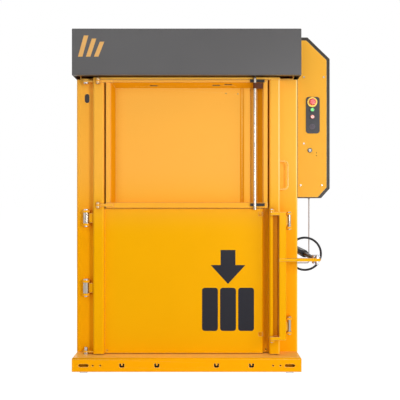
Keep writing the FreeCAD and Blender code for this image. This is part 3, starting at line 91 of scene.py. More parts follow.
def powderCoat(name, look):
    # Polyester powder coat on folded sheet: an even, satin film with a painted highlight on sharp
    # edges, with a soft orange peel that breaks up the highlights.
    finish, tree, shader, place = newFinish(name, {"Specular IOR Level": look["gloss"], "IOR": 1.5})
    clouds = addNode(tree, "ShaderNodeTexNoise", values={"Scale": perMetre(look["cloudMm"]), "Detail": 2.0},
                     links={"Vector": place})
    tone = addNode(tree, "ShaderNodeMix", {"data_type": "RGBA"},
                   {colourA: linearTone(look["shade"]), colourB: linearTone(look["tone"])},
                   {0: clouds.outputs[0]})
    if "sheenTone" in look:
        # painted sheen: the coat is paler from half the machine's height up, where a softbox's reflection
        # falls
        height = addNode(tree, "ShaderNodeSeparateXYZ", links={"Vector": place}).outputs["Z"]
        rise = addNode(tree, "ShaderNodeMapRange", {"interpolation_type": "SMOOTHSTEP"},
                       {"From Min": look["sheenFrom"], "From Max": look["sheenTo"]}, {"Value": height})
        tone = addNode(tree, "ShaderNodeMix", {"data_type": "RGBA"}, {colourB: linearTone(look["sheenTone"])},
                       {0: rise.outputs[0], colourA: tone.outputs[colourOut]})
    if "foldShadeTone" in look:
        # painted shade: in folds and grooves the colour is deeper, where less light reaches
        nearby = addNode(tree, "ShaderNodeAmbientOcclusion", {"samples": 6, "only_local": True},
                         {"Distance": look["foldShadeMm"] / 1000})
        inFoldShade = addNode(tree, "ShaderNodeMapRange", links={"Value": nearby.outputs["AO"]}, values={
            "From Min": coatRanges["foldFrom"], "From Max": coatRanges["foldTo"]})
        tone = addNode(tree, "ShaderNodeMix", {"data_type": "RGBA"}, {colourB: linearTone(look["foldShadeTone"])},
                       {0: inFoldShade.outputs[0], colourA: tone.outputs[colourOut]})
    rounded = addNode(tree, "ShaderNodeBevel", {"samples": 4}, {"Radius": look["edgeMm"] / 1000})
    flat = addNode(tree, "ShaderNodeNewGeometry")
    along = addNode(tree, "ShaderNodeVectorMath", {"operation": "DOT_PRODUCT"},
                    links={0: rounded.outputs[0], 1: flat.outputs["Normal"]})
    onEdgeHighlight = addNode(tree, "ShaderNodeMapRange", links={"Value": along.outputs["Value"]}, values={
        "From Min": coatRanges["edgeFrom"], "From Max": coatRanges["edgeTo"], "To Max": look["edgeShare"]})
    edged = addNode(tree, "ShaderNodeMix", {"data_type": "RGBA"}, {colourB: linearTone(look["edge"])},
                    {0: onEdgeHighlight.outputs[0], colourA: tone.outputs[colourOut]})
    tree.links.new(edged.outputs[colourOut], shader.inputs["Base Color"])
    # real peel is about 2 mm across, drawn at peelMm so that it still shows at this size
    peel = addNode(tree, "ShaderNodeTexNoise", values={"Scale": perMetre(look["peelMm"]), "Detail": 1.0},
                   links={"Vector": place})
    bump = addNode(tree, "ShaderNodeBump",
                   values={"Strength": look["peel"], "Distance": coatRanges["peelDepth"]},
                   links={"Height": peel.outputs[0], "Normal": rounded.outputs[0]})
    tree.links.new(bump.outputs[0], shader.inputs["Normal"])
    rub = addNode(tree, "ShaderNodeTexNoise", links={"Vector": place},
                  values={"Scale": perMetre(coatRanges["rubMm"]), "Detail": 4.0})
    dull = addNode(tree, "ShaderNodeMapRange", links={"Value": rub.outputs[0]}, values={
        "To Min": look["rough"] - coatRanges["glossier"], "To Max": look["rough"] + coatRanges["duller"]})
    tree.links.new(dull.outputs[0], shader.inputs["Roughness"])
    return finish


steelRanges = {"glossier": 0.04, "duller": 0.08, "markDepth": 0.0002}


def bareSteel(name, look):
    # Zinc-plated, nickelled, blackened or hard-chromed steel: a mirror that turning marks or the
    # plating's fine grain scatter a little, darker where fingers and oil have been.
    finish, tree, shader, place = newFinish(name, {"Metallic": 1.0})
    stretch = addNode(tree, "ShaderNodeMapping", values={"Scale": look["stretch"]}, links={"Vector": place})
    grain = addNode(tree, "ShaderNodeTexNoise", values={"Scale": perMetre(look["grainMm"]), "Detail": 3.0},
                    links={"Vector": stretch.outputs[0]})
    tone = addNode(tree, "ShaderNodeMix", {"data_type": "RGBA"},
                   {colourA: linearTone(look["shade"]), colourB: linearTone(look["tone"])},
                   {0: grain.outputs[0]})
    tree.links.new(tone.outputs[colourOut], shader.inputs["Base Color"])
    rough = addNode(tree, "ShaderNodeMapRange", links={"Value": grain.outputs[0]}, values={
        "To Min": look["rough"] - steelRanges["glossier"], "To Max": look["rough"] + steelRanges["duller"]})
    tree.links.new(rough.outputs[0], shader.inputs["Roughness"])
    marks = addNode(tree, "ShaderNodeBump", links={"Height": grain.outputs[0]},
                    values={"Strength": look["marks"], "Distance": steelRanges["markDepth"]})
    tree.links.new(marks.outputs[0], shader.inputs["Normal"])
    return finish


plasticRanges = {"cloudMm": 20.0, "grainMm": 0.8, "glossier": 0.03, "duller": 0.05, "grainDepth": 0.0002}


def mouldedPlastic(name, look):
    # Moulded ABS and polyethylene, PVC sleeve and cut film: one colour right through, with the
    # tool's fine grain, which dulls the black parts, while the buttons' mould was polished.
    finish, tree, shader, place = newFinish(name, {"IOR": 1.53, "Specular IOR Level": look["gloss"]})
    clouds = addNode(tree, "ShaderNodeTexNoise", links={"Vector": place},
                     values={"Scale": perMetre(plasticRanges["cloudMm"]), "Detail": 2.0})
    tone = addNode(tree, "ShaderNodeMix", {"data_type": "RGBA"},
                   {colourA: linearTone(look["shade"]), colourB: linearTone(look["tone"])},
                   {0: clouds.outputs[0]})
    tree.links.new(tone.outputs[colourOut], shader.inputs["Base Color"])
    grain = addNode(tree, "ShaderNodeTexNoise", links={"Vector": place},
                    values={"Scale": perMetre(plasticRanges["grainMm"]), "Detail": 1.0})
    rough = addNode(tree, "ShaderNodeMapRange", links={"Value": grain.outputs[0]}, values={
        "To Min": look["rough"] - plasticRanges["glossier"],
        "To Max": look["rough"] + plasticRanges["duller"]})
    tree.links.new(rough.outputs[0], shader.inputs["Roughness"])
    bump = addNode(tree, "ShaderNodeBump", links={"Height": grain.outputs[0]},
                   values={"Strength": look["grain"], "Distance": plasticRanges["grainDepth"]})
    tree.links.new(bump.outputs[0], shader.inputs["Normal"])
    return finish


# what all the orange coats share: large clouds, painted highlights on edges, painted shade in folds, and a
# painted sheen on the upper half
orangeFilm = {"cloudMm": 260.0, "edgeMm": 5.0, "edgeShare": 0.85, "foldShadeMm": 60.0, "foldShadeTone": "#CC7800",
              "peelMm": 6.0, "peel": 0.06, "gloss": 0.04, "sheenFrom": 0.78, "sheenTo": 1.22}
darkFilm = {"cloudMm": 180.0, "edgeMm": 2.0, "edgeShare": 0.35, "peelMm": 5.0, "peel": 0.08, "gloss": 0.3}

finishes = {
    "frame_paint": powderCoat("orangePowderCoatSatin", dict(
        orangeFilm, tone="#FFB003", shade="#FAAA00", sheenTone="#FFB842", edge="#FFE6A6", rough=0.36)),
    "door_paint": powderCoat("orangePowderCoatDoor", dict(
        orangeFilm, tone="#F3AE02", shade="#EEA900", sheenTone="#F5B240", edge="#FFE6A6", rough=0.34)),
    # the feed door's paler, bluer tone is a painted sheen, like the upper half's
    "feed_paint": powderCoat("orangePowderCoatFeedDoorSheen", dict(
        orangeFilm, tone="#F6AD22", shade="#F1A81C", sheenTone="#F7B046", edge="#FFE6A6", rough=0.34)),
    "platen_paint": powderCoat("orangePowderCoatWorn", dict(
        orangeFilm, tone="#EA9F0A", shade="#DC9204", edge="#C9A25A", rough=0.46)),
    "graphite_paint": powderCoat("graphitePowderCoatSatin", dict(
        darkFilm, tone="#413F40", shade="#3C3B3C", edge="#7C7B7D", rough=0.42, gloss=0.55)),
    "control_paint": powderCoat("darkGreyPowderCoat", dict(
        darkFilm, tone="#27252A", shade="#242227", edge="#58575C", rough=0.4)),
    "black_steel": powderCoat("blackPowderCoat", dict(
        darkFilm, tone="#29292D", shade="#242428", edge="#4E4E54", rough=0.38, gloss=0.18)),
    "cylinder_paint": powderCoat("blackGreyEnamel", dict(
        darkFilm, tone="#3C3D41", shade="#35363A", edge="#6A6B70", rough=0.32)),
    "zinc_steel": bareSteel("zincPlatedSteel", {
        "tone": "#C6C7CB", "shade": "#A9AAAF", "rough": 0.34, "grainMm": 6.0, "marks": 0.12,
        "stretch": (1.0, 1.0, 1.0)}),
    # the chrome's darker, warmer tone is a painted reflection of the dark and orange surroundings
    "chrome_steel": bareSteel("hardChromedSteel", {
        "tone": "#B2A89D", "shade": "#9F968C", "rough": 0.14, "grainMm": 3.0, "marks": 0.04,
        "stretch": (1.0, 1.0, 0.1)}),
    "black_plastic": mouldedPlastic("blackAbsGrained", {
        "tone": "#1B1613", "shade": "#171210", "rough": 0.5, "grain": 0.3, "gloss": 0.25}),
    "yellow_plastic": mouldedPlastic("yellowAbsSatin", {
        "tone": "#FFDA50", "shade": "#F8CF40", "rough": 0.35, "grain": 0.1, "gloss": 0.5}),
    "red_plastic": mouldedPlastic("redAbsPolished", {
        "tone": "#E2423C", "shade": "#D63832", "rough": 0.22, "grain": 0.03, "gloss": 0.5}),
    "green_plastic": mouldedPlastic("greenLensPolished", {
        "tone": "#52E264", "shade": "#48D45A", "rough": 0.18, "grain": 0.02, "gloss": 0.5}),
    "rose_plastic": mouldedPlastic("roseLensPolished", {
        "tone": "#F28A7A", "shade": "#E87C6E", "rough": 0.18, "grain": 0.02, "gloss": 0.5}),
}

# coats for parts of a piece: painted shade on the feed door's slopes, painted highlights on bends, painted
# light on the base's ledge
slopeShadePaint = powderCoat("orangePowderCoatSlopeShade", dict(
    orangeFilm, tone="#E28E08", shade="#DC8904", edge="#FFD27A", rough=0.34, sheenTone="#E08E06"))
bendHighlightPaint = powderCoat("orangePowderCoatBendHighlight", dict(
    orangeFilm, tone="#FFC23E", shade="#FBBE38", edge="#FFE6A6", rough=0.34, sheenTone="#FFD484"))
ledgePaint = powderCoat("orangePowderCoatLedge", dict(
    orangeFilm, tone="#FFC65C", shade="#FFC256", edge="#FFE6A6", rough=0.3))

# cut film, and the painted shade inside small holes
vinylDark = mouldedPlastic("vinylFilmDark", {
    "tone": "#212129", "shade": "#1D1D25", "rough": 0.42, "grain": 0.05, "gloss": 0.15})
vinylOrange = mouldedPlastic("vinylFilmOrange", {
    "tone": "#DDA95F", "shade": "#D5A056", "rough": 0.42, "grain": 0.05, "gloss": 0.3})
sounderGrey = mouldedPlastic("greyAbsGrained", {
    "tone": "#5E5560", "shade": "#575059", "rough": 0.5, "grain": 0.2, "gloss": 0.3})
holeShade = mouldedPlastic("paintedHoleShade", {
    "tone": "#141416", "shade": "#101012", "rough": 0.7, "grain": 0.1, "gloss": 0.1})

# nodes that look a little different from their slot
ownFinishes = {
    # the cabinet cover's paler, bluer tone is a painted sheen, like the upper half's
    "cabinet_cover": powderCoat("orangePowderCoatCabinetSheen", dict(
        orangeFilm, tone="#EFAF3C", shade="#EBAA38", edge="#FFE6A6", rough=0.36)),
    "cabinet_shell": powderCoat("brownGreyPowderCoat", dict(
        darkFilm, tone="#2D2822", shade="#2A2520", edge="#5E574E", rough=0.42)),
    # the handle's paler tone is a painted highlight; its higher gloss is real
    "pull_handle": powderCoat("orangePowderCoatGlossyHighlight", dict(
        orangeFilm, tone="#F8BC50", shade="#F4B648", edge="#FFE6A6", rough=0.26, gloss=0.5)),
    # the cam's dark brown is painted shade: an orange hook seen in shade
    "latch_cam": powderCoat("shadedOrangeEnamel", dict(
        darkFilm, tone="#5A2C12", shade="#4E260F", edge="#9A5A24", rough=0.4, gloss=0.15)),
    "post_hole_plug": mouldedPlastic("greyPolyethylene", {
        "tone": "#39373A", "shade": "#343235", "rough": 0.5, "grain": 0.2, "gloss": 0.3}),
    "key_switch": bareSteel("darkNickelledSteel", {
        "tone": "#6C665E", "shade": "#615C55", "rough": 0.3, "grainMm": 3.0, "marks": 0.05,
        "stretch": (1.0, 1.0, 1.0)}),
    "switch_bezels": bareSteel("blackenedSteel", {
        "tone": "#403F43", "shade": "#3A393D", "rough": 0.35, "grainMm": 3.0, "marks": 0.05,
        "stretch": (1.0, 1.0, 1.0)}),
    "switch_conduit": mouldedPlastic("greyPvcSleeve", {
        "tone": "#D2CCCA", "shade": "#C8C2C0", "rough": 0.45, "grain": 0.1, "gloss": 0.3})}

for part in frame["record"]["subparts"]:
    thing = frame["nodes"][part["node"]]
    if not thing.material_slots:
        thing.data.materials.append(None)
    for seat in thing.material_slots:
        seat.material = ownFinishes.get(part["node"], finishes[part["material_slot"]])
print("finishes ready:", len(finishes))


# shapes built from given outlines

def keepShape(name, work, finish, body):
    bmesh.ops.remove_doubles(work, verts=work.verts, dist=mergeDistance)
    bmesh.ops.recalc_face_normals(work, faces=work.faces)
    mesh = bpy.data.meshes.new(name)
    work.to_mesh(mesh)
    work.free()
    mesh.materials.append(finish)
    thing = bpy.data.objects.new(name, mesh)
    bpy.context.scene.collection.objects.link(thing)
    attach(thing, body)


def roundCorners(points, radius, steps=5):
    made = []
    for i, corner in enumerate(points):
        here = Vector(corner)
        before = (Vector(points[i - 1]) - here).normalized()
        after = (Vector(points[(i + 1) % len(points)]) - here).normalized()
        half = before.angle(after) / 2
        reach = radius / math.tan(half)
        centre = here + (before + after).normalized() * (radius / math.sin(half))
        start, end = here + before * reach - centre, here + after * reach - centre
        turn = start.angle(end)
        for k in range(steps + 1):
            share = k / steps
            a = math.sin((1 - share) * turn) / math.sin(turn)
            b = math.sin(share * turn) / math.sin(turn)
            made.append(centre + start * a + end * b)
    return made


def addFlat(work, outline, backY, frontY):
    # a flat shape in X and Z, as thick as backY to frontY
    back = [work.verts.new((p[0], backY, p[1])) for p in outline]
    front = [work.verts.new((p[0], frontY, p[1])) for p in outline]
    work.faces.new(back)
    work.faces.new(front)
    for i in range(len(outline)):
        k = (i + 1) % len(outline)
        work.faces.new((back[i], back[k], front[k], front[i]))


def addTurned(work, foot, axis, profile, sides=28):
    # profile: (distance along the axis, radius) pairs, closed at both ends by small discs
    axis = Vector(axis)
    side = axis.orthogonal().normalized()
    other = axis.cross(side)
    rings = []
    for along, radius in profile:
        middle = Vector(foot) + axis * along
        rings.append([work.verts.new(middle + side * (radius * math.cos(2 * math.pi * k / sides))
                                     + other * (radius * math.sin(2 * math.pi * k / sides)))
                      for k in range(sides)])
    work.faces.new(rings[0])
    work.faces.new(rings[-1])
    for low, high in zip(rings, rings[1:]):
        for k in range(sides):
            n = (k + 1) % sides
            work.faces.new((low[k], low[n], high[n], high[k]))


def inTwoFinishes(name, nodeName, second, isSecond, body):
    # the node's own shape, with a second finish on some of its faces
    source = frame["nodes"][nodeName]
    work = bmesh.new()
    work.from_mesh(source.data)
    bmesh.ops.remove_doubles(work, verts=work.verts, dist=mergeDistance)
    work.normal_update()
    for face in work.faces:
        face.material_index = 1 if isSecond(face.calc_center_median(), face.normal) else 0
    mesh = bpy.data.meshes.new(name)
    work.to_mesh(mesh)
    work.free()
    mesh.materials.append(source.material_slots[0].material)
    mesh.materials.append(second)
    thing = bpy.data.objects.new(name, mesh)
    bpy.context.scene.collection.objects.link(thing)
    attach(thing, body)
    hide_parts(nodeName)


# repeated pieces, made by Geometry Nodes

def startTree(name, inputs):
    tree = bpy.data.node_groups.new(name, "GeometryNodeTree")
    tree.interface.new_socket(name="Geometry", in_out="INPUT", socket_type="NodeSocketGeometry")
    for label, kind in inputs:
        tree.interface.new_socket(name=label, in_out="INPUT", socket_type="NodeSocket" + kind)
    tree.interface.new_socket(name="Geometry", in_out="OUTPUT", socket_type="NodeSocketGeometry")
    return tree, addNode(tree, "NodeGroupInput").outputs


def endTree(tree, shape, finish):
    whole = addNode(tree, "GeometryNodeRealizeInstances", links={"Geometry": shape})
    dressed = addNode(tree, "GeometryNodeSetMaterial",
                      links={"Geometry": whole.outputs[0], "Material": finish})
    addNode(tree, "NodeGroupOutput", links={"Geometry": dressed.outputs[0]})
    return tree


def grow(name, tree, sizes, points, edges, facings, body):
    # runs a tree on points or edges, and keeps what it makes as a plain mesh
    mesh = bpy.data.meshes.new(name)
    mesh.from_pydata(points, edges, [])
    if facings:
        mesh.attributes.new("facing", "FLOAT_VECTOR", "POINT").data.foreach_set(
            "vector", [part for facing in facings for part in facing])
    thing = bpy.data.objects.new(name, mesh)
    bpy.context.scene.collection.objects.link(thing)
    modifier = thing.modifiers.new("make", "NODES")
    modifier.node_group = tree
    for item in tree.interface.items_tree:
        if item.item_type == "SOCKET" and item.in_out == "INPUT" and item.name in sizes:
            modifier[item.identifier] = sizes[item.name]
    evaluated = thing.evaluated_get(bpy.context.evaluated_depsgraph_get())
    made = bpy.data.meshes.new_from_object(evaluated)
    made.name = name
    thing.modifiers.remove(modifier)
    thing.data = made
    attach(thing, body)
    print("  grown", name, len(made.polygons), "faces")


def facedPoints(tree, geometry, shape):
    facing = addNode(tree, "GeometryNodeInputNamedAttribute", {"data_type": "FLOAT_VECTOR"},
                     {"Name": "facing"})
    turn = addNode(tree, "FunctionNodeAlignRotationToVector", {"axis": "Z"},
                   links={"Vector": facing.outputs[0]})
    return addNode(tree, "GeometryNodeInstanceOnPoints", links={
        "Points": geometry, "Instance": shape, "Rotation": turn.outputs[0]}).outputs[0]


screwShape = {"rimShare": 0.62, "sides": 20}


def buttonScrewTree():
    # a domed button head with a hexagon socket
    tree, given = startTree("buttonScrews", [
        ("Head Radius", "Float"), ("Head Height", "Float"), ("Socket Radius", "Float"),
        ("Finish", "Material")])
    rim = addNode(tree, "ShaderNodeMath", {"operation": "MULTIPLY"}, {1: screwShape["rimShare"]},
                  {0: given["Head Radius"]})
    head = addNode(tree, "GeometryNodeMeshCone", values={"Vertices": screwShape["sides"]}, links={
        "Radius Top": rim.outputs[0], "Radius Bottom": given["Head Radius"], "Depth": given["Head Height"]})
    half = addNode(tree, "ShaderNodeMath", {"operation": "MULTIPLY"}, {1: 0.5}, {0: given["Head Height"]})
    lift = addNode(tree, "ShaderNodeCombineXYZ", links={"Z": half.outputs[0]})
    socket = addNode(tree, "GeometryNodeMeshCylinder", values={"Vertices": 6}, links={
        "Radius": given["Socket Radius"], "Depth": given["Head Height"]})
    raised = addNode(tree, "GeometryNodeTransform", links={
        "Geometry": socket.outputs["Mesh"], "Translation": lift.outputs[0]})
    cut = addNode(tree, "GeometryNodeMeshBoolean", {"operation": "DIFFERENCE", "solver": "EXACT"},
                  links={0: head.outputs["Mesh"], 1: raised.outputs[0]})
    return endTree(tree, facedPoints(tree, given["Geometry"], cut.outputs[0]), given["Finish"])


boltShape = {"topShare": 0.84, "chamferShare": 0.16, "washerSides": 24}


def hexBoltTree():
    # a hexagon bolt head with a chamfered top, on a plain washer
    tree, given = startTree("hexBolts", [
        ("Head Radius", "Float"), ("Head Height", "Float"), ("Washer Radius", "Float"),
        ("Washer Height", "Float"), ("Finish", "Material")])
    washer = addNode(tree, "GeometryNodeMeshCylinder", values={"Vertices": boltShape["washerSides"]},
                     links={"Radius": given["Washer Radius"], "Depth": given["Washer Height"]})
    head = addNode(tree, "GeometryNodeMeshCylinder", values={"Vertices": 6}, links={
        "Radius": given["Head Radius"], "Depth": given["Head Height"]})
    half = addNode(tree, "ShaderNodeMath", {"operation": "MULTIPLY"}, {1: 0.5}, {0: given["Head Height"]})
    lift = addNode(tree, "ShaderNodeCombineXYZ", links={"Z": half.outputs[0]})
    raised = addNode(tree, "GeometryNodeTransform", links={
        "Geometry": head.outputs["Mesh"], "Translation": lift.outputs[0]})
    top = addNode(tree, "ShaderNodeMath", {"operation": "MULTIPLY"}, {1: boltShape["topShare"]},
                  {0: given["Head Radius"]})
    chamfer = addNode(tree, "ShaderNodeMath", {"operation": "MULTIPLY"}, {1: boltShape["chamferShare"]},
                      {0: given["Head Height"]})
    cap = addNode(tree, "GeometryNodeMeshCone", values={"Vertices": 6}, links={
        "Radius Top": top.outputs[0], "Radius Bottom": given["Head Radius"], "Depth": chamfer.outputs[0]})
    capLift = addNode(tree, "ShaderNodeCombineXYZ", links={"Z": given["Head Height"]})
    capRaised = addNode(tree, "GeometryNodeTransform", links={
        "Geometry": cap.outputs["Mesh"], "Translation": capLift.outputs[0]})
    bolt = addNode(tree, "GeometryNodeJoinGeometry")
    for shape in (washer.outputs["Mesh"], raised.outputs[0], capRaised.outputs[0]):
        tree.links.new(shape, bolt.inputs[0])
    return endTree(tree, facedPoints(tree, given["Geometry"], bolt.outputs[0]), given["Finish"])


holeSides = 16


def roundHoleTree():
    # small discs of painted shade that stand for drilled holes
    tree, given = startTree("drilledHoles", [
        ("Hole Radius", "Float"), ("Hole Depth", "Float"), ("Finish", "Material")])
    disc = addNode(tree, "GeometryNodeMeshCylinder", values={"Vertices": holeSides}, links={
        "Radius": given["Hole Radius"], "Depth": given["Hole Depth"]})
    return endTree(tree, facedPoints(tree, given["Geometry"], disc.outputs["Mesh"]), given["Finish"])


weldShape = {"leastRipple": 0.6, "mostRipple": 1.4, "sides": 8}


def weldTree():
    # a rippled bead that follows the edges it is given
    tree, given = startTree("weldBeads", [
        ("Bead Radius", "Float"), ("Ripple Length", "Float"), ("Ripple Depth", "Float"),
        ("Seed", "Int"), ("Finish", "Material")])
    path = addNode(tree, "GeometryNodeMeshToCurve", links={"Mesh": given["Geometry"]})
    steps = addNode(tree, "GeometryNodeResampleCurve", {"mode": "LENGTH"}, links={
        "Curve": path.outputs[0], "Length": given["Ripple Length"]})
    order = addNode(tree, "GeometryNodeInputIndex")
    odd = addNode(tree, "ShaderNodeMath", {"operation": "MODULO"}, {1: 2.0}, {0: order.outputs[0]})
    uneven = addNode(tree, "FunctionNodeRandomValue", {"data_type": "FLOAT"},
                     {2: weldShape["leastRipple"], 3: weldShape["mostRipple"]}, {"Seed": given["Seed"]})
    ripple = addNode(tree, "ShaderNodeMath", {"operation": "MULTIPLY"},
                     links={0: odd.outputs[0], 1: uneven.outputs[1]})
    deep = addNode(tree, "ShaderNodeMath", {"operation": "MULTIPLY_ADD"}, {2: 1.0},
                   {0: ripple.outputs[0], 1: given["Ripple Depth"]})
    ring = addNode(tree, "GeometryNodeCurvePrimitiveCircle", values={"Resolution": weldShape["sides"]},
                   links={"Radius": given["Bead Radius"]})
    bead = addNode(tree, "GeometryNodeCurveToMesh", values={"Fill Caps": True}, links={
        "Curve": steps.outputs[0], "Profile Curve": ring.outputs[0], "Scale": deep.outputs[0]})
    return endTree(tree, bead.outputs[0], given["Finish"])


def growHoles(name, sizes, places, body):
    grow(name, holeTree, {
        "Hole Radius": sizes["holeRadius"], "Hole Depth": sizes["holeDepth"], "Finish": holeShade},
        places, [], [(0, -1, 0)] * len(places), body)


def growBolts(name, sizes, bolts, body):
    grow(name, boltTree, {
        "Head Radius": sizes["headRadius"], "Head Height": sizes["headHeight"],
        "Washer Radius": sizes["washerRadius"], "Washer Height": sizes["washerHeight"],
        "Finish": finishes["zinc_steel"]},
        [place for place, _ in bolts], [], [facing for _, facing in bolts], body)


# the cabinet's cover screws

coverScrews = {"headRadius": 0.0065, "headHeight": 0.0034, "socketRadius": 0.0027, "frontY": -0.362,
               "places": [(0.705, 1.739), (0.825, 1.739), (0.705, 1.337), (0.685, 1.085), (0.814, 1.085)]}
grow("cabinet.coverScrews", buttonScrewTree(), {
    "Head Radius": coverScrews["headRadius"], "Head Height": coverScrews["headHeight"],
    "Socket Radius": coverScrews["socketRadius"], "Finish": finishes["zinc_steel"]},
    [(x, coverScrews["frontY"], z) for x, z in coverScrews["places"]], [],
    [(0, -1, 0)] * len(coverScrews["places"]), "frame")

# two small drain holes in the cabinet's cover

coverHoles = {"holeRadius": 0.0026, "holeDepth": 0.0005, "frontY": -0.362,
              "places": [(0.781, 1.281), (0.781, 1.265)]}
holeTree = roundHoleTree()
growHoles("cabinet.coverHoles", coverHoles,
          [(x, coverHoles["frontY"], z) for x, z in coverHoles["places"]], "frame")

# hexagon bolts that hold the hood

hoodBolts = {"headRadius": 0.0105, "headHeight": 0.0075, "washerRadius": 0.0135, "washerHeight": 0.002,
             "level": 1.737, "sideX": 0.662, "backY": 0.520,
             "leftY": (-0.46, -0.16, 0.15, 0.44), "rightY": (0.15, 0.44), "backX": (-0.58, -0.2, 0.2, 0.58)}
hoodPlaces = ([((-hoodBolts["sideX"], y, hoodBolts["level"]), (-1, 0, 0)) for y in hoodBolts["leftY"]]
              + [((hoodBolts["sideX"], y, hoodBolts["level"]), (1, 0, 0)) for y in hoodBolts["rightY"]]
              + [((x, hoodBolts["backY"], hoodBolts["level"]), (0, 1, 0)) for x in hoodBolts["backX"]])
boltTree = hexBoltTree()
growBolts("hood.sideBolts", hoodBolts, hoodPlaces, "frame")

# nuts on the ends of the feed door's hinge pins

pinNuts = {"headRadius": 0.0105, "headHeight": 0.0070, "washerRadius": 0.0120, "washerHeight": 0.0016,
           "x": -0.520, "y": -0.492, "ends": [(0.958, -1), (0.974, 1), (1.685, -1), (1.701, 1)]}
growBolts("feedDoor.pinNuts", pinNuts,
          [((pinNuts["x"], pinNuts["y"], z), (0, 0, way)) for z, way in pinNuts["ends"]], "main_door")

# stitch welds along the ribs

ribWelds = {"beadRadius": 0.003, "rippleLength": 0.004, "rippleDepth": 0.22, "seed": 7, "stitch": 0.05,
            "spacing": 0.16, "lowest": 0.230, "pitch": 0.258, "ribs": 6, "halfHeight": 0.040,
            "wallX": 0.536, "wallY": 0.406, "sideY": (-0.37, 0.36), "backX": (-0.5, 0.5)}


def stitches(start, end, length, spacing):
    # as many stitches as fit between start and end, centred
    count = int((end - start - length) // spacing) + 1
    first = (start + end - length - spacing * (count - 1)) / 2
    return [(first + spacing * k, first + spacing * k + length) for k in range(count)]


points, edges = [], []
for k in range(ribWelds["ribs"]):
    level = ribWelds["lowest"] + ribWelds["pitch"] * k
    for z in (level - ribWelds["halfHeight"], level + ribWelds["halfHeight"]):
        for a, b in stitches(*ribWelds["sideY"], ribWelds["stitch"], ribWelds["spacing"]):
            for x in (-ribWelds["wallX"], ribWelds["wallX"]):
                edges.append((len(points), len(points) + 1))
                points += [(x, a, z), (x, b, z)]
        for a, b in stitches(*ribWelds["backX"], ribWelds["stitch"], ribWelds["spacing"]):
            edges.append((len(points), len(points) + 1))
            points += [(a, ribWelds["wallY"], z), (b, ribWelds["wallY"], z)]
grow("ribs.stitchWelds", weldTree(), {
    "Bead Radius": ribWelds["beadRadius"], "Ripple Length": ribWelds["rippleLength"],
    "Ripple Depth": ribWelds["rippleDepth"], "Seed": ribWelds["seed"], "Finish": finishes["frame_paint"]},
    points, edges, [], "frame")

# the sounder under the two push buttons: a low round cap with a rosette of holes

sounder = {"centre": (0.755, 1.439), "backY": -0.3640, "frontY": -0.3668, "radius": 0.0170, "rim": 0.0012,
           "holeRadius": 0.0015, "holeDepth": 0.0006, "pitch": 0.0054, "rings": [(1, 6), (2, 12)]}
work = bmesh.new()
addTurned(work, (sounder["centre"][0], sounder["backY"], sounder["centre"][1]), (0, -1, 0), [
    (0.0, sounder["radius"]), (sounder["backY"] - sounder["frontY"] - sounder["rim"], sounder["radius"]),
    (sounder["backY"] - sounder["frontY"], sounder["radius"] - sounder["rim"])])
keepShape("controls.sounderCap", work, sounderGrey, "frame")
holes = [(0.0, 0.0)]
for ring, count in sounder["rings"]:
    for k in range(count):
        angle = 2 * math.pi * k / count
        holes.append((ring * sounder["pitch"] * math.cos(angle), ring * sounder["pitch"] * math.sin(angle)))
growHoles("controls.sounderHoles", sounder,
          [(sounder["centre"][0] + x, sounder["frontY"], sounder["centre"][1] + z) for x, z in holes],
          "frame")
print("repeated pieces ready")


# the sign on the lower door: an arrow that presses on a strapped bale

doorSign = {"left": 0.089, "right": 0.396, "bottom": 0.223, "top": 0.701, "panelY": -0.454, "film": 0.0004,
            "baleTop": 0.478, "blocks": 3, "blockRound": 0.016, "strap": 0.013,
            "shaft": 0.088, "head": 0.205, "headBase": 0.612, "gap": 0.022}
work = bmesh.new()
front = doorSign["panelY"] - doorSign["film"]
middle = (doorSign["left"] + doorSign["right"]) / 2
shaft, head = doorSign["shaft"] / 2, doorSign["head"] / 2
tip = doorSign["baleTop"] + doorSign["gap"]
addFlat(work, [(middle - shaft, doorSign["top"]), (middle - shaft, doorSign["headBase"]),
               (middle - head, doorSign["headBase"]), (middle, tip), (middle + head, doorSign["headBase"]),
               (middle + shaft, doorSign["headBase"]), (middle + shaft, doorSign["top"])],
        doorSign["panelY"], front)
width = ((doorSign["right"] - doorSign["left"] - doorSign["strap"] * (doorSign["blocks"] - 1))
         / doorSign["blocks"])
for k in range(doorSign["blocks"]):
    x0 = doorSign["left"] + k * (width + doorSign["strap"])
    addFlat(work, roundCorners([(x0, doorSign["bottom"]), (x0 + width, doorSign["bottom"]),
                                (x0 + width, doorSign["baleTop"]), (x0, doorSign["baleTop"])],
                               doorSign["blockRound"]), doorSign["panelY"], front)
keepShape("mainDoor.pressSign", work, vinylDark, "main_door")

# folded tabs in the two notches of the lower door, beside the lock bar, in a deeper orange that is painted
# shade

notchTabs = {"left": 0.4165, "right": 0.4445, "frontY": -0.4489, "backY": -0.4465, "halfHeight": 0.0175,
             "levels": (0.2036, 0.9134)}
work = bmesh.new()
for level in notchTabs["levels"]:
    low, high = level - notchTabs["halfHeight"], level + notchTabs["halfHeight"]
    addFlat(work, [(notchTabs["left"], low), (notchTabs["right"], low), (notchTabs["right"], high),
                   (notchTabs["left"], high)], notchTabs["backY"], notchTabs["frontY"])
keepShape("mainDoor.notchTabs", work, slopeShadePaint, "main_door")

# three slanted bars at the left of the hood

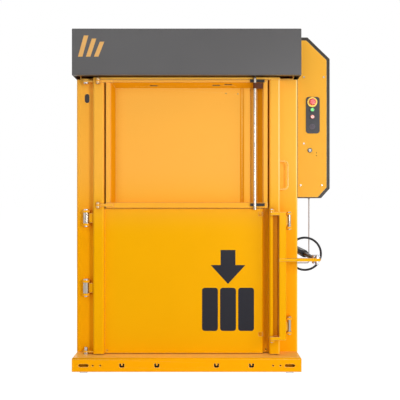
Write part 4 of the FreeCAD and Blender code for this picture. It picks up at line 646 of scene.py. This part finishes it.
hoodBars = {"left": -0.626, "bottom": 1.822, "height": 0.122, "bar": 0.026, "pitch": 0.046, "slant": 0.034,
            "frontY": -0.55, "film": 0.0004, "count": 3, "drop": 0.018}
work = bmesh.new()
for k in range(hoodBars["count"]):
    x0 = hoodBars["left"] + k * hoodBars["pitch"]
    barTop = hoodBars["bottom"] + hoodBars["height"] - k * hoodBars["drop"]
    addFlat(work, [(x0, hoodBars["bottom"]), (x0 + hoodBars["bar"], hoodBars["bottom"]),
                   (x0 + hoodBars["bar"] + hoodBars["slant"], barTop), (x0 + hoodBars["slant"], barTop)],
            hoodBars["frontY"], hoodBars["frontY"] - hoodBars["film"])
keepShape("hood.slantedBars", work, vinylOrange, "frame")
print("signs ready")


# steel that stays bare on painted pieces: the turned hinge bushes and the lock arm's bolt

bushes = {"x": -0.596, "y": -0.445, "radius": 0.0185, "levels": (0.477, 0.890), "halfHeight": 0.032}
armBolt = {"x": 0.760, "y": -0.5125, "radius": 0.0138, "plateLow": 0.6399, "plateHigh": 0.6571}


def onBush(point, facing):
    beside = math.hypot(point.x - bushes["x"], point.y - bushes["y"]) < bushes["radius"]
    return beside and any(abs(point.z - level) < bushes["halfHeight"] for level in bushes["levels"])


def onArmBolt(point, facing):
    beside = math.hypot(point.x - armBolt["x"], point.y - armBolt["y"]) < armBolt["radius"]
    return beside and not armBolt["plateLow"] < point.z < armBolt["plateHigh"]


inTwoFinishes("doorHinge.bushes", "door_hinge_knuckles", finishes["chrome_steel"], onBush, "main_door")
inTwoFinishes("lockArm.bolt", "lock_arm", finishes["zinc_steel"], onArmBolt, "door_lock")

# the feed door's panel, with painted shade, a deeper orange, on its three sloping edges and its groove

feedSlopes = {"frontY": -0.470, "backY": -0.4375, "leastTilt": 0.4, "mostTilt": 0.95}


def onSlope(point, facing):
    return (feedSlopes["frontY"] < point.y < feedSlopes["backY"]
            and feedSlopes["leastTilt"] < -facing.y < feedSlopes["mostTilt"])


inTwoFinishes("feedDoor.slopedPanel", "feed_door_panel", slopeShadePaint, onSlope, "feed_door")

# the posts' upright bends, with painted highlights that show as pale lines

bends = {"leastTilt": 0.3, "mostTilt": 0.95,
         "posts": [("frontPost.rightBent", "front_post_right", "frame"),
                   ("doorPost.rightBent", "door_post_right", "main_door")]}


def onBend(point, facing):
    return (bends["leastTilt"] < -facing.y < bends["mostTilt"]
            and bends["leastTilt"] < facing.x < bends["mostTilt"])


for name, nodeName, body in bends["posts"]:
    inTwoFinishes(name, nodeName, bendHighlightPaint, onBend, body)

# the base tray's upper face, with painted light: a paler orange where light falls from above

ledge = {"leastUp": 0.9, "leastZ": 0.085}


def onLedge(point, facing):
    return facing.z > ledge["leastUp"] and point.z > ledge["leastZ"]


inTwoFinishes("base.paleLedge", "base_frame", ledgePaint, onLedge, "frame")
print("small fittings ready")


# studio

studio = {
    "cameraPlace": (0.077, -4.35, 1.002), "lens": 59.375, "shiftY": -0.0025,
    "sensor": 36.0, "clipEnd": 200.0, "skyLight": 0.3, "floorHalf": 60.0,
    "floorTone": "#F4F4F4", "floorShade": "#9F9F9F", "floorWhite": 0.9,
    "aim": (0.05, -0.45, 1.0),
    "lamps": [  # name, place, size, watts
        ("keyLamp", (1.72, -5.04, 1.43), (0.7, 1.2), 82.0),
        ("softLamp", (-0.78, -5.15, 1.5), (1.3, 1.2), 4.0),
        ("hoodLamp", (-1.0, -4.4, 2.95), (1.4, 0.8), 18.0),
        ("rightLamp", (3.91, -2.68, 1.63), (1.6, 1.6), 49.0),
        ("leftLamp", (-3.81, -2.68, 1.63), (1.6, 1.6), 18.0),
        ("topLamp", (0.05, -1.69, 4.8), (3.0, 1.6), 26.0),
        ("backLamp", (-1.2, 4.6, 2.8), (3.0, 2.0), 60.0)]}


def directView(tree):
    # 1 for rays that come straight from the camera, off a mirror or through glass
    path = addNode(tree, "ShaderNodeLightPath").outputs
    first = addNode(tree, "ShaderNodeMath", {"operation": "MAXIMUM"},
                    links={0: path["Is Camera Ray"], 1: path["Is Glossy Ray"]})
    return addNode(tree, "ShaderNodeMath", {"operation": "MAXIMUM"},
                   links={0: first.outputs[0], 1: path["Is Transmission Ray"]}).outputs[0]


def setUpStudio():
    scene = bpy.context.scene
    scene.view_settings.view_transform = "Standard"
    camera = bpy.data.objects.new("camera", bpy.data.cameras.new("camera"))
    scene.collection.objects.link(camera)
    camera.location = studio["cameraPlace"]
    camera.rotation_euler = (math.radians(90), 0, 0)
    camera.data.sensor_width = studio["sensor"]
    camera.data.lens = studio["lens"]
    camera.data.shift_y = studio["shiftY"]
    camera.data.clip_end = studio["clipEnd"]
    scene.camera = camera

    for name, place, size, power in studio["lamps"]:
        lamp = bpy.data.lights.new(name, "AREA")
        lamp.shape = "RECTANGLE"
        lamp.size, lamp.size_y = size
        lamp.energy = power
        holder = bpy.data.objects.new(name, lamp)
        scene.collection.objects.link(holder)
        holder.location = place
        towards = Vector(studio["aim"]) - Vector(place)
        holder.rotation_euler = towards.to_track_quat("-Z", "Y").to_euler()

    world = bpy.data.worlds.new("studioSky")
    scene.world = world
    world.use_nodes = True
    tree = world.node_tree
    tree.nodes.clear()
    dim = addNode(tree, "ShaderNodeBackground",
                  values={"Color": (1, 1, 1, 1), "Strength": studio["skyLight"]})
    white = addNode(tree, "ShaderNodeBackground", values={"Color": (1, 1, 1, 1), "Strength": 1.0})
    sky = addNode(tree, "ShaderNodeMixShader",
                  links={0: directView(tree), 1: dim.outputs[0], 2: white.outputs[0]})
    addNode(tree, "ShaderNodeOutputWorld", links={"Surface": sky.outputs[0]})

    half = studio["floorHalf"]
    mesh = bpy.data.meshes.new("studioFloor")
    corners = [(-half, -half, 0), (half, -half, 0), (half, half, 0), (-half, half, 0)]
    mesh.from_pydata(corners, [], [(0, 1, 2, 3)])
    floor = bpy.data.objects.new("studioFloor", mesh)
    scene.collection.objects.link(floor)
    card = bpy.data.materials.new("matWhiteCard")  # painted board, with no shine
    card.use_nodes = True
    tree = card.node_tree
    tree.nodes.clear()
    matt = addNode(tree, "ShaderNodeBsdfDiffuse", values={"Color": linearTone(studio["floorTone"])})
    shade = addNode(tree, "ShaderNodeBsdfDiffuse", values={"Color": linearTone(studio["floorShade"])})
    glow = addNode(tree, "ShaderNodeEmission", values={"Strength": studio["floorWhite"]})
    seen = addNode(tree, "ShaderNodeAddShader", links={0: shade.outputs[0], 1: glow.outputs[0]})
    both = addNode(tree, "ShaderNodeMixShader",
                   links={0: directView(tree), 1: matt.outputs[0], 2: seen.outputs[0]})
    addNode(tree, "ShaderNodeOutputMaterial", links={"Surface": both.outputs[0]})
    mesh.materials.append(card)


setUpStudio()
print("studio ready")
